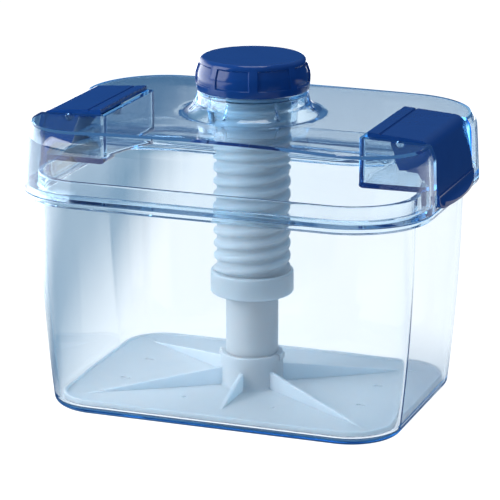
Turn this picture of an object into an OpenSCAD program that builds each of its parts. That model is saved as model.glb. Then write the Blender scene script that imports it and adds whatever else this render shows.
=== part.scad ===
// Pickle press: a clear tub and a clear lid that two end latches hold down.
// The knob turns a hollow screw in the lid. A spring inside the screw pushes a post and
// its press plate down onto the food.
// The origin is the middle of the underside. X runs along the tub, Y from front to back.

/* [Tub] */
// Length of the rim, along X
rim_length = 199.4; // [192:0.2:210]
// Depth of the rim, along Y
rim_depth = 148.4; // [142:0.2:160]
// Corner radius of the rim, seen from above
rim_corner = 38.2; // [36:0.2:42]
// Thickness of the rim
rim_thickness = 3; // [2.6:0.1:4]
// How far the rim stands out from the wall
rim_overhang = 7.5; // [7:0.1:8]
// Height of the rim's top face, where the lid sits
seat_height = 106.9; // [95:0.1:120]
// Height of the wall's lip above the rim, inside the lid
lip_height = 8.1; // [7:0.1:9]
// Wall thickness of the tub
tub_wall = 2.4; // [1.8:0.1:3]
// Thickness of the floor
tub_floor = 2.6; // [2.2:0.1:4]
// How far each wall leans in between the rim and the floor
wall_lean = 6.1; // [3:0.1:8]
// Radius of the rounded edge round the underside
foot_radius = 4; // [3:0.2:6]
// Depth of the hollow under the floor
foot_hollow = 0.8; // [0.4:0.1:1.2]
// Width of the flat that the tub stands on, round that hollow
foot_width = 5; // [3:0.2:8]
// Rounding of the rim's edges
rim_round = 0.8; // [0.4:0.1:1.1]

/* [Lid] */
// Height of the lid's top above the rim, at the middle
lid_rise = 32.6; // [31:0.1:36]
// How much lower the arched top is at the ends
lid_arch = 2.2; // [1:0.1:3]
// Wall thickness of the lid
lid_wall = 2.4; // [1.8:0.1:2.8]
// How far the end walls lean in below the shoulder
lid_end_lean = 0.9; // [0.4:0.1:1.4]
// How far the long walls lean in below the shoulder
lid_side_lean = 2.4; // [1:0.1:4]
// How far the shoulder curves in at the ends
shoulder_end = 5.6; // [3:0.1:7]
// How far the shoulder curves in along the long sides
shoulder_side = 8.7; // [5:0.1:10]
// Height of the curved shoulder
shoulder_height = 10.5; // [8:0.1:12]
// Height of the thick foot that sits on the rim
lid_foot = 2.4; // [1.6:0.1:3]

/* [Neck] */
// Radius of the raised ring under the knob
neck_radius = 27; // [25.5:0.1:29]
// Height of the ring above the lid's top
neck_rise = 10.7; // [9:0.1:12]
// Wall thickness of the ring
neck_wall = 2.2; // [1.6:0.1:2.6]
// Radius of the round swell at the ring's foot
swell_radius = 35.6; // [33:0.1:38]
// Height of the swell above the lid's top
swell_height = 5; // [3:0.1:6]
// Wall thickness of the nut that the screw runs in
nut_wall = 2.8; // [2:0.1:3.2]
// How far the nut hangs below the lid's top
nut_drop = 7.1; // [4:0.1:12]
// Number of fins round the ring
fin_count = 7; // [4:1:12]
// How far each fin reaches out from the ring
fin_reach = 4; // [2:0.1:6]
// Thickness of a fin
fin_thickness = 1.4; // [1:0.1:2]

/* [Latches] */
// Width of a latch, along Y
latch_width = 57; // [50:0.5:58]
// Thickness of a latch's shell
latch_wall = 2.2; // [1.8:0.1:2.3]
// How far the latch's face stands out past the rim
latch_proud = 1; // [0.9:0.1:2]
// How far the finger lip at the foot of the latch stands out from its face
lip_reach = 3.2; // [1.5:0.1:4]
// Thickness of the finger lip's edge
lip_edge = 1; // [0.8:0.1:2]
// Radius of the hollow curve above the finger lip
lip_flare = 6; // [4.5:0.1:9]
// Radius of the latch's two lower corners
latch_corner = 4; // [2:0.1:6]
// Distance of the pivot from the end of the rim
pivot_inset = 18.4; // [17:0.1:20]
// Height of the pivot above the rim
pivot_height = 27.9; // [26.5:0.1:28.4]
// How far the latch's top reaches in from its pivot
latch_reach = 15.3; // [12:0.1:18]
// Height of the latch's inner edge above the middle of the lid
latch_rise = 1.2; // [0.8:0.1:2]
// Fall of the latch's top from its inner edge to the bend
latch_fall = 1.8; // [1:0.1:2.4]
// Radius of the bend between the latch's top and its face
latch_bend = 6; // [4:0.2:7]
// Lean of the face just below the bend, in degrees
face_lean = 8; // [4:0.5:12]
// Distance of the grip groove from the latch's inner edge
groove_inset = 5.4; // [4:0.1:8]
// Width of the grip groove
groove_width = 1.2; // [0.8:0.1:2]
// Radius of the boss round each pivot
boss_radius = 4.2; // [3.6:0.1:4.4]
// Radius of the pivot studs
stud_radius = 2.2; // [1.6:0.1:2.6]
// Width of the catch on the tub's rim, along Y
catch_width = 46; // [30:0.5:48]
// Height of the catch above the rim
catch_height = 5; // [4.6:0.1:6]
// Thickness of the catch's upright
catch_wall = 1.4; // [1.2:0.1:1.6]
// How far the catch's hook reaches out from its upright
catch_hook = 1.8; // [1.2:0.1:1.9]

/* [Screw] */
// Outer radius of the screw
screw_radius = 18.4; // [17.6:0.1:19]
// Wall thickness of the screw
screw_wall = 4.2; // [3.4:0.1:4.4]
// Travel of the screw from its lowest to its highest place
screw_travel = 70; // [50:0.5:70.5]
// Outer radius of the collar at the screw's lower end
collar_radius = 19.9; // [19.2:0.1:21]
// Height of the collar
collar_height = 11; // [8:0.1:14]
// Thickness of the collar's inward lip
collar_lip = 2.4; // [1.8:0.1:3]
// Radius of the six-sided head that carries the knob, over its corners
head_radius = 11.5; // [9:0.1:12]
// Height of that head
head_height = 9.6; // [7:0.1:10.2]

/* [Knob] */
// Radius of the knob
knob_radius = 27.2; // [26.5:0.1:29]
// Radius of the knob's flat top
knob_top_radius = 22.8; // [21:0.1:23.5]
// Height of the knob
knob_height = 15.4; // [14.8:0.1:17]
// Wall thickness of the knob
knob_wall = 2.2; // [1.8:0.1:2.6]
// Number of grip panels round the knob
panel_count = 8; // [5:1:10]
// Width of the land between two panels
panel_land = 4.1; // [3:0.1:7]
// Depth of a panel
panel_depth = 0.8; // [0.4:0.1:1.2]
// Height of a panel
panel_height = 9.5; // [6:0.1:10]
// Height of the panels' lower edge above the knob's foot
panel_foot = 3.4; // [2:0.1:4]

/* [Press] */
// Outer radius of the post
post_radius = 12.6; // [11.6:0.1:13]
// Wall thickness of the post
post_wall = 2.2; // [1.6:0.1:2.6]
// Thickness of the flange that stops the post in the collar
flange_thickness = 3; // [2:0.1:4]
// Thickness of the press plate
plate_thickness = 2; // [1.6:0.1:3]
// Gap between the plate's edge and the tub's wall
plate_gap = 2.5; // [1.5:0.1:4]
// Height of the plate's turned-up edge above the plate
edge_height = 1; // [0.4:0.1:2]
// Thickness of that edge
edge_wall = 1.6; // [1:0.1:2.4]
// Height of the hub above the plate
hub_height = 16.2; // [12:0.1:19]
// Wall thickness of the hub
hub_wall = 2.3; // [1.8:0.1:3]
// Height of the ribs where they meet the hub
rib_height = 9; // [5:0.1:11]
// Thickness of the ribs
rib_thickness = 2; // [1.4:0.1:3]
// Distance of the ribs' outer ends from the plate's edges
rib_margin = 13; // [8:0.5:20]
// Length of a drain slot
slot_length = 5.2; // [3:0.1:8]
// Width of a drain slot
slot_width = 1.8; // [1.2:0.1:3]
// Distance of the drain slots from the plate's ends
slot_inset = 22; // [16:0.5:30]
// Distance between the two slots of an end
slot_spacing = 30; // [20:0.5:40]
// Thickness of the spring's wire
wire = 1.6; // [1.2:0.1:2]
// Number of turns in the spring
spring_turns = 13; // [8:1:16]

/* [Hidden] */
$fn = 96;

// Clearances
seat_gap = 0.3;
run_gap = 0.08;
pin_gap = 0.05;
lip_gap = 0.5;
floor_gap = 0.6;
latch_gap = 0.5;
eps = 0.01;
slab = 0.02;
over = 2;

// Tub
corner_x = rim_length / 2 - rim_corner;
corner_y = rim_depth / 2 - rim_corner;
wall_r = rim_corner - rim_overhang;
rim_under = seat_height - rim_thickness;
lip_top = seat_height + lip_height;
wall_steps = 8;
arc_steps = 4;
inner_fillet = 3;
lip_round = tub_wall / 3;

// Lid
lid_top = seat_height + lid_rise;
lid_end = rim_length / 2;
lid_side = rim_depth / 2;
arch_radius = (lid_end * lid_end + lid_arch * lid_arch) / (2 * lid_arch);
shoulder_turn = 60;
shoulder_steps = 5;
shoulder_spare = 0.6;
shoulder_top = lid_top + shoulder_spare;

// Latch and its pocket, at the end with positive X
pivot_x = lid_end - pivot_inset;
pivot_z = seat_height + pivot_height;
latch_in_x = pivot_x - latch_reach;
latch_in_z = lid_top + latch_rise;
face_x = lid_end + latch_proud;
face_setback = 4.4;
bend_x = face_x - latch_bend - face_setback;
bend_z = latch_in_z - latch_fall;
top_tilt = atan2(latch_fall, bend_x - latch_in_x);
face_foot = seat_height + seat_gap;
swing_radius = norm([latch_reach, latch_in_z - pivot_z]);
pocket_wall = 2.2;
pocket_x = pivot_x - swing_radius - seat_gap;
pocket_floor = 2.2;
pocket_z = lip_top + lip_gap + pocket_floor;
pocket_side = latch_width / 2 + latch_gap;
end_wall_in = corner_x + wall_r + lip_gap;
end_wall = 1.8;
end_wall_out = end_wall_in + end_wall;
catch_in = end_wall_out + seat_gap;
catch_out = catch_in + catch_wall;
catch_tip = catch_out + catch_hook;
catch_top = seat_height + catch_height;
hook_height = 1.5;
catch_under = catch_top - hook_height;
cheek_out = latch_width / 2 - latch_gap;
web_run = 8.4;
web_drop = 10.9;

// Neck
neck_top = lid_top + neck_rise;
neck_taper = 0.8;
nut_bore = screw_radius + run_gap;
nut_radius = nut_bore + nut_wall;
nut_foot = lid_top - nut_drop;
fin_phase = 5.5;

// Screw and knob
knob_foot = neck_top + seat_gap;
knob_top = knob_foot + knob_height;
screw_rise = 1.5;
shoulder_z = knob_foot + screw_rise;
collar_top = nut_foot - screw_travel - seat_gap;
collar_foot = collar_top - collar_height;
collar_lip_top = collar_foot + collar_lip;
spigot_step = 1.6;
spigot_radius = screw_radius - spigot_step;
bore_radius = screw_radius - screw_wall;
bore_roof = 2.4;
bore_top = shoulder_z - bore_roof;
hex_sides = 6;
knob_round = 2.6;
panel_phase = -73.8;

// Post, plate and spring
plate_foot = tub_floor + floor_gap;
plate_top = plate_foot + plate_thickness;
plate_corner = wall_at(plate_foot + foot_radius) - tub_wall - plate_gap;
plate_x = corner_x + plate_corner;
plate_y = corner_y + plate_corner;
hub_radius = post_radius + run_gap + hub_wall;
hub_top = plate_top + hub_height;
hub_floor = 2;
post_foot = plate_top + hub_floor;
flange_foot = collar_lip_top + run_gap;
flange_radius = bore_radius - seat_gap;
post_top = flange_foot + flange_thickness;
snap_width = 5;
snap_height = 3;
snap_proud = 0.8;
snap_reach = hub_radius + snap_proud;
hole_radius = 1.1;
hole_x = 22.5;
hole_y = 33;
seat_thickness = 2;
seat_top = bore_top - run_gap;
seat_foot = seat_top - seat_thickness;
spring_radius = (flange_radius + post_radius - post_wall) / 2;
spring_foot = post_top + wire / 2;
spring_top = seat_foot - wire / 2;
end_coil_gap = 0.6;
coil_rings = 8;
end_pitch = wire + end_coil_gap;

clear = [0.82, 0.9, 0.95, 0.35];
milky = [0.82, 0.88, 0.93];
navy = [0.08, 0.12, 0.38];
steel = [0.75, 0.76, 0.78];

// Points along an arc about a centre
function arc(centre, r, from, to, steps) = [
    for (i = [0:steps])
        let (a = from + (to - from) * i / steps)
        centre + r * [cos(a), sin(a)]
];

function backwards(pts) = [for (i = [len(pts) - 1:-1:0]) pts[i]];

// Radius of the tub's outer wall at a height, measured from the corner's centre line
function wall_at(z) = wall_r - wall_lean * pow(max(rim_under - z, 0) / rim_under, 2);

// Runs a profile of distance and height round a rectangle with round corners
module run_round(cx, cy) {
    for (turn = [0, 180])
        rotate([0, 0, turn]) {
            translate([-cx, cy, 0])
                rotate([90, 0, 90])
                    linear_extrude(height = 2 * cx)
                        children();
            translate([cx, cy, 0])
                rotate([90, 0, 0])
                    linear_extrude(height = 2 * cy)
                        children();
            translate([cx, cy, 0])
                rotate_extrude(angle = 90)
                    children();
            translate([-cx, cy, 0])
                rotate([0, 0, 90])
                    rotate_extrude(angle = 90)
                        children();
        }
}

// Rectangle with round corners, from its half sizes
module plan(hx, hy, r) {
    square([2 * (hx - r), 2 * hy], center = true);
    square([2 * hx, 2 * (hy - r)], center = true);
    for (sx = [-1, 1], sy = [-1, 1])
        translate([sx * (hx - r), sy * (hy - r)])
            circle(r = r);
}

// Copies its children to both ends of the part
module both_ends() {
    children();
    rotate([0, 0, 180])
        children();
}

// Box from its lowest corner to its highest
module block(low, high) {
    translate(low)
        cube(high - low);
}

// Extrudes an outline of X and height along Y
module along_y(from, to) {
    translate([0, to, 0])
        rotate([90, 0, 0])
            linear_extrude(height = to - from)
                children();
}

// Section of the tub's wall, from the corner's centre line outwards
module tub_section() {
    foot_c = wall_at(foot_radius) - foot_radius;
    fill_z = tub_floor + inner_fillet;
    fill_c = wall_at(fill_z) - tub_wall - inner_fillet;
    outside = [
        for (i = [0:wall_steps])
            let (z = foot_radius + (rim_under - foot_radius) * i / wall_steps)
            [wall_at(z), z]
    ];
    inside = [
        for (i = [0:wall_steps])
            let (z = rim_under + (fill_z - rim_under) * i / wall_steps)
            [wall_at(z) - tub_wall, z]
    ];
    rim_c = rim_corner - rim_round;
    lip_c = wall_r - lip_round;
    polygon(concat(
        [[0, 0]],
        arc([foot_c, foot_radius], foot_radius, -90, 0, arc_steps),
        outside,
        arc([rim_c, rim_under + rim_round], rim_round, -90, 0, arc_steps),
        arc([rim_c, seat_height - rim_round], rim_round, 0, 90, arc_steps),
        [[wall_r, seat_height]],
        arc([lip_c, lip_top - lip_round], lip_round, 0, 90, arc_steps),
        [[wall_r - tub_wall, lip_top]],
        inside,
        arc([fill_c, fill_z], inner_fillet, 0, -90, arc_steps),
        [[0, tub_floor]]
    ));
}

// Upright on the rim, with the outward hook that a latch holds
module catch_section() {
    polygon([
        [catch_in, seat_height - rim_round],
        [catch_out, seat_height - rim_round],
        [catch_out, catch_under],
        [catch_tip, catch_under],
        [catch_tip, catch_top - rim_round],
        [catch_tip - rim_round, catch_top],
        [catch_in, catch_top],
    ]);
}

module container() {
    flat_edge = wall_at(foot_radius) - foot_radius - foot_width;
    color(clear)
        difference() {
            union() {
                run_round(corner_x, corner_y)
                    tub_section();
                block([-corner_x, -corner_y, 0], [corner_x, corner_y, tub_floor]);
                both_ends()
                    along_y(-catch_width / 2, catch_width / 2)
                        catch_section();
            }
            translate([0, 0, -over])
                linear_extrude(height = over + foot_hollow)
                    plan(corner_x + flat_edge, corner_y + flat_edge, flat_edge);
        }
}

// Thin slab with the lid's outline, drawn in by two insets
module lid_slab(inset_x, inset_y, z) {
    r = rim_corner - min(inset_x, inset_y);
    x = lid_end - inset_x - r;
    y = lid_side - inset_y - r;
    for (sx = [-1, 1], sy = [-1, 1])
        translate([sx * x, sy * y, z - slab])
            cylinder(h = slab, r = r, $fn = 48);
}

// The lid's form up to its arched top, drawn in by t on every side
module lid_form(t, foot) {
    rise = sin(shoulder_turn);
    run = 1 - cos(shoulder_turn);
    intersection() {
        hull() {
            lid_slab(t, t, foot + slab);
            for (i = [0:shoulder_steps]) {
                a = shoulder_turn * i / shoulder_steps;
                lid_slab(lid_end_lean + shoulder_end * (1 - cos(a)) / run + t * cos(a),
                         lid_side_lean + shoulder_side * (1 - cos(a)) / run + t * cos(a),
                         shoulder_top - shoulder_height * (1 - sin(a) / rise) - t * sin(a));
            }
        }
        translate([0, 0, lid_top - arch_radius])
            rotate([90, 0, 0])
                cylinder(h = rim_depth + over, r = arch_radius - t, center = true, $fn = 1080);
    }
}

// Everything that a pocket keeps inside the lid
module pocket_solid() {
    side = pocket_side + pocket_wall;
    block([pocket_x - pocket_wall, -side, pocket_z - pocket_floor],
          [lid_end + over, side, lid_top]);
    block([end_wall_in, -side, seat_height - over],
          [lid_end + over, side, pocket_z]);
}

module pocket_void() {
    block([pocket_x, -pocket_side, pocket_z],
          [lid_end + over, pocket_side, lid_top + over]);
    block([end_wall_out, -pocket_side, seat_height - over],
          [lid_end + over, pocket_side, lid_top + over]);
}

// Height of the swell above the lid's top at a distance from the screw
function swell_at(r) =
    swell_height * (1 - cos(90 * (swell_radius - r) / (swell_radius - neck_radius)));

module neck_section() {
    steps = 6;
    polygon(concat(
        [[nut_bore, nut_foot], [nut_radius, nut_foot], [nut_radius, lid_top - lid_wall]],
        [[swell_radius, lid_top - lid_wall]],
        [for (i = [0:steps])
            let (r = swell_radius + (neck_radius - swell_radius) * i / steps)
            [r, lid_top + swell_at(r)]],
        arc([neck_radius - neck_taper - rim_round, neck_top - rim_round],
            rim_round, 0, 90, arc_steps),
        [[nut_bore, neck_top]]
    ));
}

// Hollow between the ring and the nut
module neck_hollow() {
    inner = neck_radius - neck_wall;
    polygon([
        [nut_radius, lid_top - lid_wall - over],
        [swell_radius - neck_wall, lid_top - lid_wall - over],
        [swell_radius - neck_wall, lid_top - lid_wall],
        [inner, lid_top + swell_height - neck_wall],
        [inner - neck_taper, neck_top - neck_wall],
        [nut_radius, neck_top - neck_wall],
    ]);
}

module fin() {
    foot_r = neck_radius + fin_reach;
    along_y(-fin_thickness / 2, fin_thickness / 2)
        polygon([
            [neck_radius - neck_taper - eps, lid_top],
            [foot_r, lid_top],
            [foot_r, lid_top + swell_at(foot_r)],
            [neck_radius - neck_taper - eps, lid_top + swell_height + fin_reach],
        ]);
}

module stud(side) {
    translate([pivot_x, side * (pocket_side + eps), pivot_z])
        rotate([side * 90, 0, 0])
            cylinder(h = latch_gap + latch_wall + seat_gap + eps, r = stud_radius, $fn = 48);
}

module lid() {
    lip_out = wall_r + lip_gap;
    color(clear) {
        difference() {
            lid_form(0, seat_height);
            difference() {
                union() {
                    lid_form(lid_wall, seat_height + lid_foot);
                    translate([0, 0, seat_height - over])
                        linear_extrude(height = lid_foot + over + eps)
                            plan(corner_x + lip_out, corner_y + lip_out, lip_out);
                }
                both_ends()
                    pocket_solid();
            }
            both_ends()
                pocket_void();
            // The flats of the hole touch the round foot of the neck
            translate([0, 0, lid_top - over * 2])
                cylinder(h = over * 4, r = swell_radius / cos(180 / $fn));
        }
        both_ends()
            for (side = [-1, 1])
                stud(side);
    }
}

// The ring, the nut and the fins, moulded in one with the lid
module neck() {
    color(clear) {
        difference() {
            rotate_extrude()
                neck_section();
            rotate_extrude()
                neck_hollow();
        }
        for (i = [0:fin_count - 1])
            rotate([0, 0, fin_phase + 360 * i / fin_count])
                fin();
    }
}

// Points of the latch's outer surface, from its inner edge to its foot
function latch_points() =
    let (
        c = [bend_x, bend_z - latch_bend],
        face_top = c + latch_bend * [cos(face_lean), sin(face_lean)],
        chord = [face_x, face_foot] - face_top,
        out = [-chord[1], chord[0]] / norm(chord),
        bulge = 2.4,
        steps = arc_steps * 2
    )
    concat(
        [[latch_in_x, latch_in_z]],
        arc(c, latch_bend, 90 - top_tilt, face_lean, arc_steps),
        [for (i = [1:steps])
            let (f = i / steps)
            face_top + chord * f + out * bulge * f * (1 - f)]
    );

// The same points moved in by a thickness
function inner_points(pts, t) = [
    for (i = [0:len(pts) - 1])
        let (
            a = pts[max(i - 1, 0)],
            b = pts[min(i + 1, len(pts) - 1)],
            d = (b - a) / norm(b - a)
        )
        pts[i] + t * [d[1], -d[0]]
];

// Outline of the finger lip at the foot of the face
module lip_section() {
    back = lip_flare - lip_reach;
    drop = sqrt(lip_flare * lip_flare - back * back);
    centre = [face_x + lip_flare, face_foot + lip_edge + drop];
    polygon(concat(
        [[face_x - latch_wall / 2, centre[1]], [face_x - latch_wall / 2, face_foot]],
        [[face_x + lip_reach, face_foot]],
        arc(centre, lip_flare, 180 + atan2(drop, back), 180, arc_steps)
    ));
}

// Outline of the latch's face with its rounded lower corners, seen from the end
module face_outline(half) {
    c = face_foot + latch_corner;
    translate([-half, c])
        square([2 * half, latch_in_z + over - c]);
    translate([latch_corner - half, face_foot - over])
        square([2 * (half - latch_corner), over * 4]);
    for (s = [-1, 1])
        translate([s * (half - latch_corner), c])
            circle(r = latch_corner);
}

// Barb behind the face: its top turns about the pivot, under the catch's hook
module barb_section() {
    reach = norm([catch_tip - pivot_x, catch_under - pivot_z]);
    difference() {
        translate([catch_out + seat_gap, face_foot])
            square([face_x - latch_wall / 2 - catch_out - seat_gap, catch_under - face_foot]);
        translate([pivot_x, pivot_z])
            circle(r = reach + seat_gap);
    }
}

// Side web of the latch, from the boss to the face
module cheek_section() {
    pts = inner_points(latch_points(), latch_wall / 2);
    inside = end_wall_out + latch_gap;
    web_foot = pocket_z + seat_gap;
    difference() {
        union() {
            translate([pivot_x, pivot_z])
                circle(r = boss_radius);
            polygon(concat(
                [[pivot_x - boss_radius, pivot_z]],
                [[pivot_x - boss_radius, latch_in_z - latch_wall]],
                [for (i = [1:len(pts) - 2]) pts[i]],
                [[pts[len(pts) - 2][0], face_foot + latch_corner / 2]],
                [[inside, face_foot + latch_corner / 2]],
                [[inside, web_foot]],
                [[pivot_x + web_run, pivot_z - web_drop], [pivot_x, pivot_z - web_drop]]
            ));
        }
        translate([pivot_x, pivot_z])
            circle(r = stud_radius + pin_gap);
    }
}

// One latch, at the end with positive X
module latch() {
    half = latch_width / 2;
    lip_plan = (half * half + lip_reach * lip_reach) / (2 * lip_reach);
    groove_x = latch_in_x + groove_inset;
    groove_z = latch_in_z - groove_inset * tan(top_tilt) - latch_wall / 4;
    color(navy) {
        intersection() {
            union() {
                along_y(-half, half)
                    polygon(concat(latch_points(),
                                   backwards(inner_points(latch_points(), latch_wall))));
                intersection() {
                    along_y(-half, half)
                        lip_section();
                    translate([face_x + lip_reach - lip_plan, 0, face_foot - over])
                        cylinder(h = lip_flare * 3, r = lip_plan, $fn = 720);
                }
            }
            rotate([90, 0, 90])
                linear_extrude(height = lid_end * 2)
                    face_outline(half);
            difference() {
                block([0, -half - over, 0], [lid_end * 2, half + over, latch_in_z + over]);
                block([groove_x, -half - over, groove_z],
                      [groove_x + groove_width, half + over, latch_in_z + over]);
            }
        }
        along_y(-catch_width / 2, catch_width / 2)
            barb_section();
        for (from = [-cheek_out, cheek_out - latch_wall])
            along_y(from, from + latch_wall)
                cheek_section();
    }
}

module latch_right() {
    latch();
}

module latch_left() {
    rotate([0, 0, 180])
        latch();
}

module knob_section() {
    taper = 0.3;
    round_z = knob_top - knob_round;
    side_z = knob_foot + panel_foot * 2;
    polygon(concat(
        [[0, knob_top - knob_wall], [0, knob_top]],
        arc([knob_top_radius, round_z], knob_round, 90, 0, arc_steps),
        [[knob_radius - 2 * taper, round_z - knob_round]],
        [[knob_radius, side_z], [knob_radius - taper, knob_foot + rim_round]],
        [[knob_radius - rim_round, knob_foot]],
        [[knob_radius - knob_wall, knob_foot]],
        [[knob_radius - knob_wall - 2 * taper, round_z - knob_round]],
        [[knob_top_radius - knob_wall / 2, knob_top - knob_wall]]
    ));
}

module knob() {
    panel_turn = 360 / panel_count;
    land_turn = panel_land / knob_radius * 180 / PI;
    socket = head_radius + run_gap;
    color(navy)
        difference() {
            union() {
                rotate_extrude()
                    knob_section();
                translate([0, 0, shoulder_z])
                    cylinder(h = knob_top - knob_wall / 2 - shoulder_z, r = socket + knob_wall);
            }
            translate([0, 0, shoulder_z - eps])
                cylinder(h = head_height + seat_gap, r = socket, $fn = hex_sides);
            for (i = [0:panel_count - 1])
                rotate([0, 0, panel_phase + i * panel_turn + land_turn])
                    translate([0, 0, knob_foot + panel_foot])
                        rotate_extrude(angle = panel_turn - land_turn)
                            translate([knob_radius - panel_depth, 0])
                                square([over, panel_height]);
        }
}

module screw_tube() {
    color(milky) {
        difference() {
            union() {
                translate([0, 0, collar_top])
                    cylinder(h = shoulder_z - collar_top, r = screw_radius);
                translate([0, 0, collar_lip_top])
                    cylinder(h = collar_top - collar_lip_top + eps, r = spigot_radius);
            }
            translate([0, 0, collar_lip_top - eps])
                cylinder(h = bore_top - collar_lip_top + eps, r = bore_radius);
        }
        translate([0, 0, shoulder_z])
            cylinder(h = head_height, r = head_radius, $fn = hex_sides);
    }
}

module screw_collar() {
    color(milky)
        rotate_extrude()
            polygon(concat(
                [[post_radius + run_gap, collar_foot]],
                arc([collar_radius - collar_lip / 2, collar_foot + collar_lip / 2],
                    collar_lip / 2, -90, 0, arc_steps),
                [[collar_radius, collar_top], [spigot_radius, collar_top]],
                [[spigot_radius, collar_lip_top], [post_radius + run_gap, collar_lip_top]]
            ));
}

module spring_seat() {
    guide = (spring_radius - wire / 2) * cos(180 / coil_rings) - seat_gap;
    color(milky)
        rotate_extrude()
            polygon([
                [guide - wire * 2, seat_foot - wire],
                [guide, seat_foot - wire],
                [guide, seat_foot],
                [flange_radius, seat_foot],
                [flange_radius, seat_top],
                [guide - wire * 2, seat_top],
            ]);
}

// Height of the wire's middle after a number of turns, closer at both ends
function coil_z(turn) =
    let (mid_pitch = (spring_top - spring_foot - 2 * end_pitch) / (spring_turns - 2))
    spring_foot + end_pitch * (min(turn, 1) + max(turn - spring_turns + 1, 0))
    + mid_pitch * min(max(turn - 1, 0), spring_turns - 2);

// Points round the wire at a number of turns
function ring(turn, sides) =
    let (out = [cos(360 * turn), sin(360 * turn), 0])
    [for (k = [0:sides - 1])
        spring_radius * out + [0, 0, coil_z(turn)]
        + wire / 2 * (cos(360 * k / sides) * out + [0, 0, sin(360 * k / sides)])];

module spring() {
    sides = 6;
    rings = spring_turns * coil_rings;
    pts = [for (i = [0:rings]) each ring(i / coil_rings, sides)];
    skin = [
        for (i = [0:rings - 1], k = [0:sides - 1])
            let (
                a = i * sides + k,
                b = i * sides + (k + 1) % sides
            )
            each [[a, b, a + sides], [b, b + sides, a + sides]]
    ];
    turn_gaps = [
        for (i = [0:rings - coil_rings], k = [0:sides - 1], m = [0:sides - 1])
            norm(pts[(i + coil_rings) * sides + k] - pts[i * sides + m])
    ];
    echo("least gap between two turns in mm", min(turn_gaps));
    color(steel)
        polyhedron(points = pts, faces = concat(
            [[for (k = [sides - 1:-1:0]) k]],
            skin,
            [[for (k = [0:sides - 1]) rings * sides + k]]
        ));
}

module press_post() {
    color(milky)
        difference() {
            union() {
                translate([0, 0, post_foot])
                    cylinder(h = post_top - post_foot, r = post_radius);
                translate([0, 0, flange_foot])
                    cylinder(h = flange_thickness, r = flange_radius);
                block([-snap_reach, -snap_width / 2, hub_top - snap_height],
                      [snap_reach, snap_width / 2, hub_top]);
            }
            translate([0, 0, post_foot + post_wall])
                cylinder(h = post_top, r = post_radius - post_wall);
        }
}

// Rib on the plate from the hub to a place near the edge
module rib(x, y) {
    root = post_radius + hub_wall / 2;
    rotate([0, 0, atan2(y, x)])
        along_y(-rib_thickness / 2, rib_thickness / 2)
            polygon([
                [root, plate_top - eps],
                [norm([x, y]), plate_top - eps],
                [root, plate_top + rib_height],
            ]);
}

module press_plate() {
    below = plate_foot - over;
    through = plate_thickness + over * 2;
    slot_round = slot_width / 2 - eps;
    snap_z = hub_top - snap_height - run_gap;
    color(milky)
        difference() {
            union() {
                translate([0, 0, plate_foot])
                    linear_extrude(height = plate_thickness)
                        plan(plate_x, plate_y, plate_corner);
                translate([0, 0, plate_top - eps])
                    linear_extrude(height = edge_height + eps)
                        difference() {
                            plan(plate_x, plate_y, plate_corner);
                            plan(plate_x - edge_wall, plate_y - edge_wall,
                                 plate_corner - edge_wall);
                        }
                translate([0, 0, plate_top - eps])
                    cylinder(h = hub_height + eps, r = hub_radius);
                for (sx = [-1, 1], sy = [-1, 1])
                    rib(sx * (plate_x - rib_margin), sy * (plate_y - rib_margin));
                for (sy = [-1, 1])
                    rib(0, sy * (plate_y - rib_margin));
            }
            translate([0, 0, post_foot])
                cylinder(h = hub_height, r = post_radius + run_gap);
            block([-hub_radius - over, -snap_width / 2 - run_gap, snap_z],
                  [hub_radius + over, snap_width / 2 + run_gap, hub_top + over]);
            for (sx = [-1, 1], sy = [-1, 1]) {
                translate([sx * (plate_x - slot_inset), sy * slot_spacing / 2, below])
                    linear_extrude(height = through)
                        plan(slot_length / 2, slot_width / 2, slot_round);
                translate([sx * hole_x, sy * hole_y, below])
                    cylinder(h = through, r = hole_radius);
            }
        }
}

container();
lid();
neck();
latch_right();
latch_left();
knob();
screw_tube();
screw_collar();
spring_seat();
spring();
press_post();
press_plate();
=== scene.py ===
# %% [markdown]
# # A pickle press in Blender
# A pickle press is a clear tub with a clear lid. Two blue latches hold the lid down, and a
# blue knob turns a hollow screw that presses a plate onto the vegetables.
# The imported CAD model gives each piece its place. This lesson dresses it: each piece that
# shows is modelled again with rounded edges and thin walls, and gets its own finish.

# %% Load the frame
import math

import bmesh
import bpy
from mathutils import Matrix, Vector


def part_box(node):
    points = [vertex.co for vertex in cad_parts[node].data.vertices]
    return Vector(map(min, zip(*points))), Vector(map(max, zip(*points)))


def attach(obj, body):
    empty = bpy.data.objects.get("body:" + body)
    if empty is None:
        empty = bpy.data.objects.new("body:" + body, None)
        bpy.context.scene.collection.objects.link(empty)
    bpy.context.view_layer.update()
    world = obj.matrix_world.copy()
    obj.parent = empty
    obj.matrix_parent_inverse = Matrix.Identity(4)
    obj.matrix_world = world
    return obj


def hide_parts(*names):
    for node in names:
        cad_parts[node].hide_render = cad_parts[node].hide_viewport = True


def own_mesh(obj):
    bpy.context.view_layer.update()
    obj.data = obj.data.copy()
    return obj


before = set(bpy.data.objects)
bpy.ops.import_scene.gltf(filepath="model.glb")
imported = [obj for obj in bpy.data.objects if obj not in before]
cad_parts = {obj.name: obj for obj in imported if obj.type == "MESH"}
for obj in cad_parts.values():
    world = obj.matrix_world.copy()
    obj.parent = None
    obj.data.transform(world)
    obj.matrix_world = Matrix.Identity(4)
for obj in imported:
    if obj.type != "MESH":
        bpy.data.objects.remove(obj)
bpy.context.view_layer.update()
MM = 0.001
print("pieces in the frame:", ", ".join(sorted(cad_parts)))

# %% [markdown]
# ## Camera
# The product was photographed with a long lens from a little above, turned a fifth of a
# right angle to its left. The place was worked out by matching the rim, the crease of the
# lid and the foot of the tub. A long lens keeps the upright edges nearly parallel.

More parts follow.
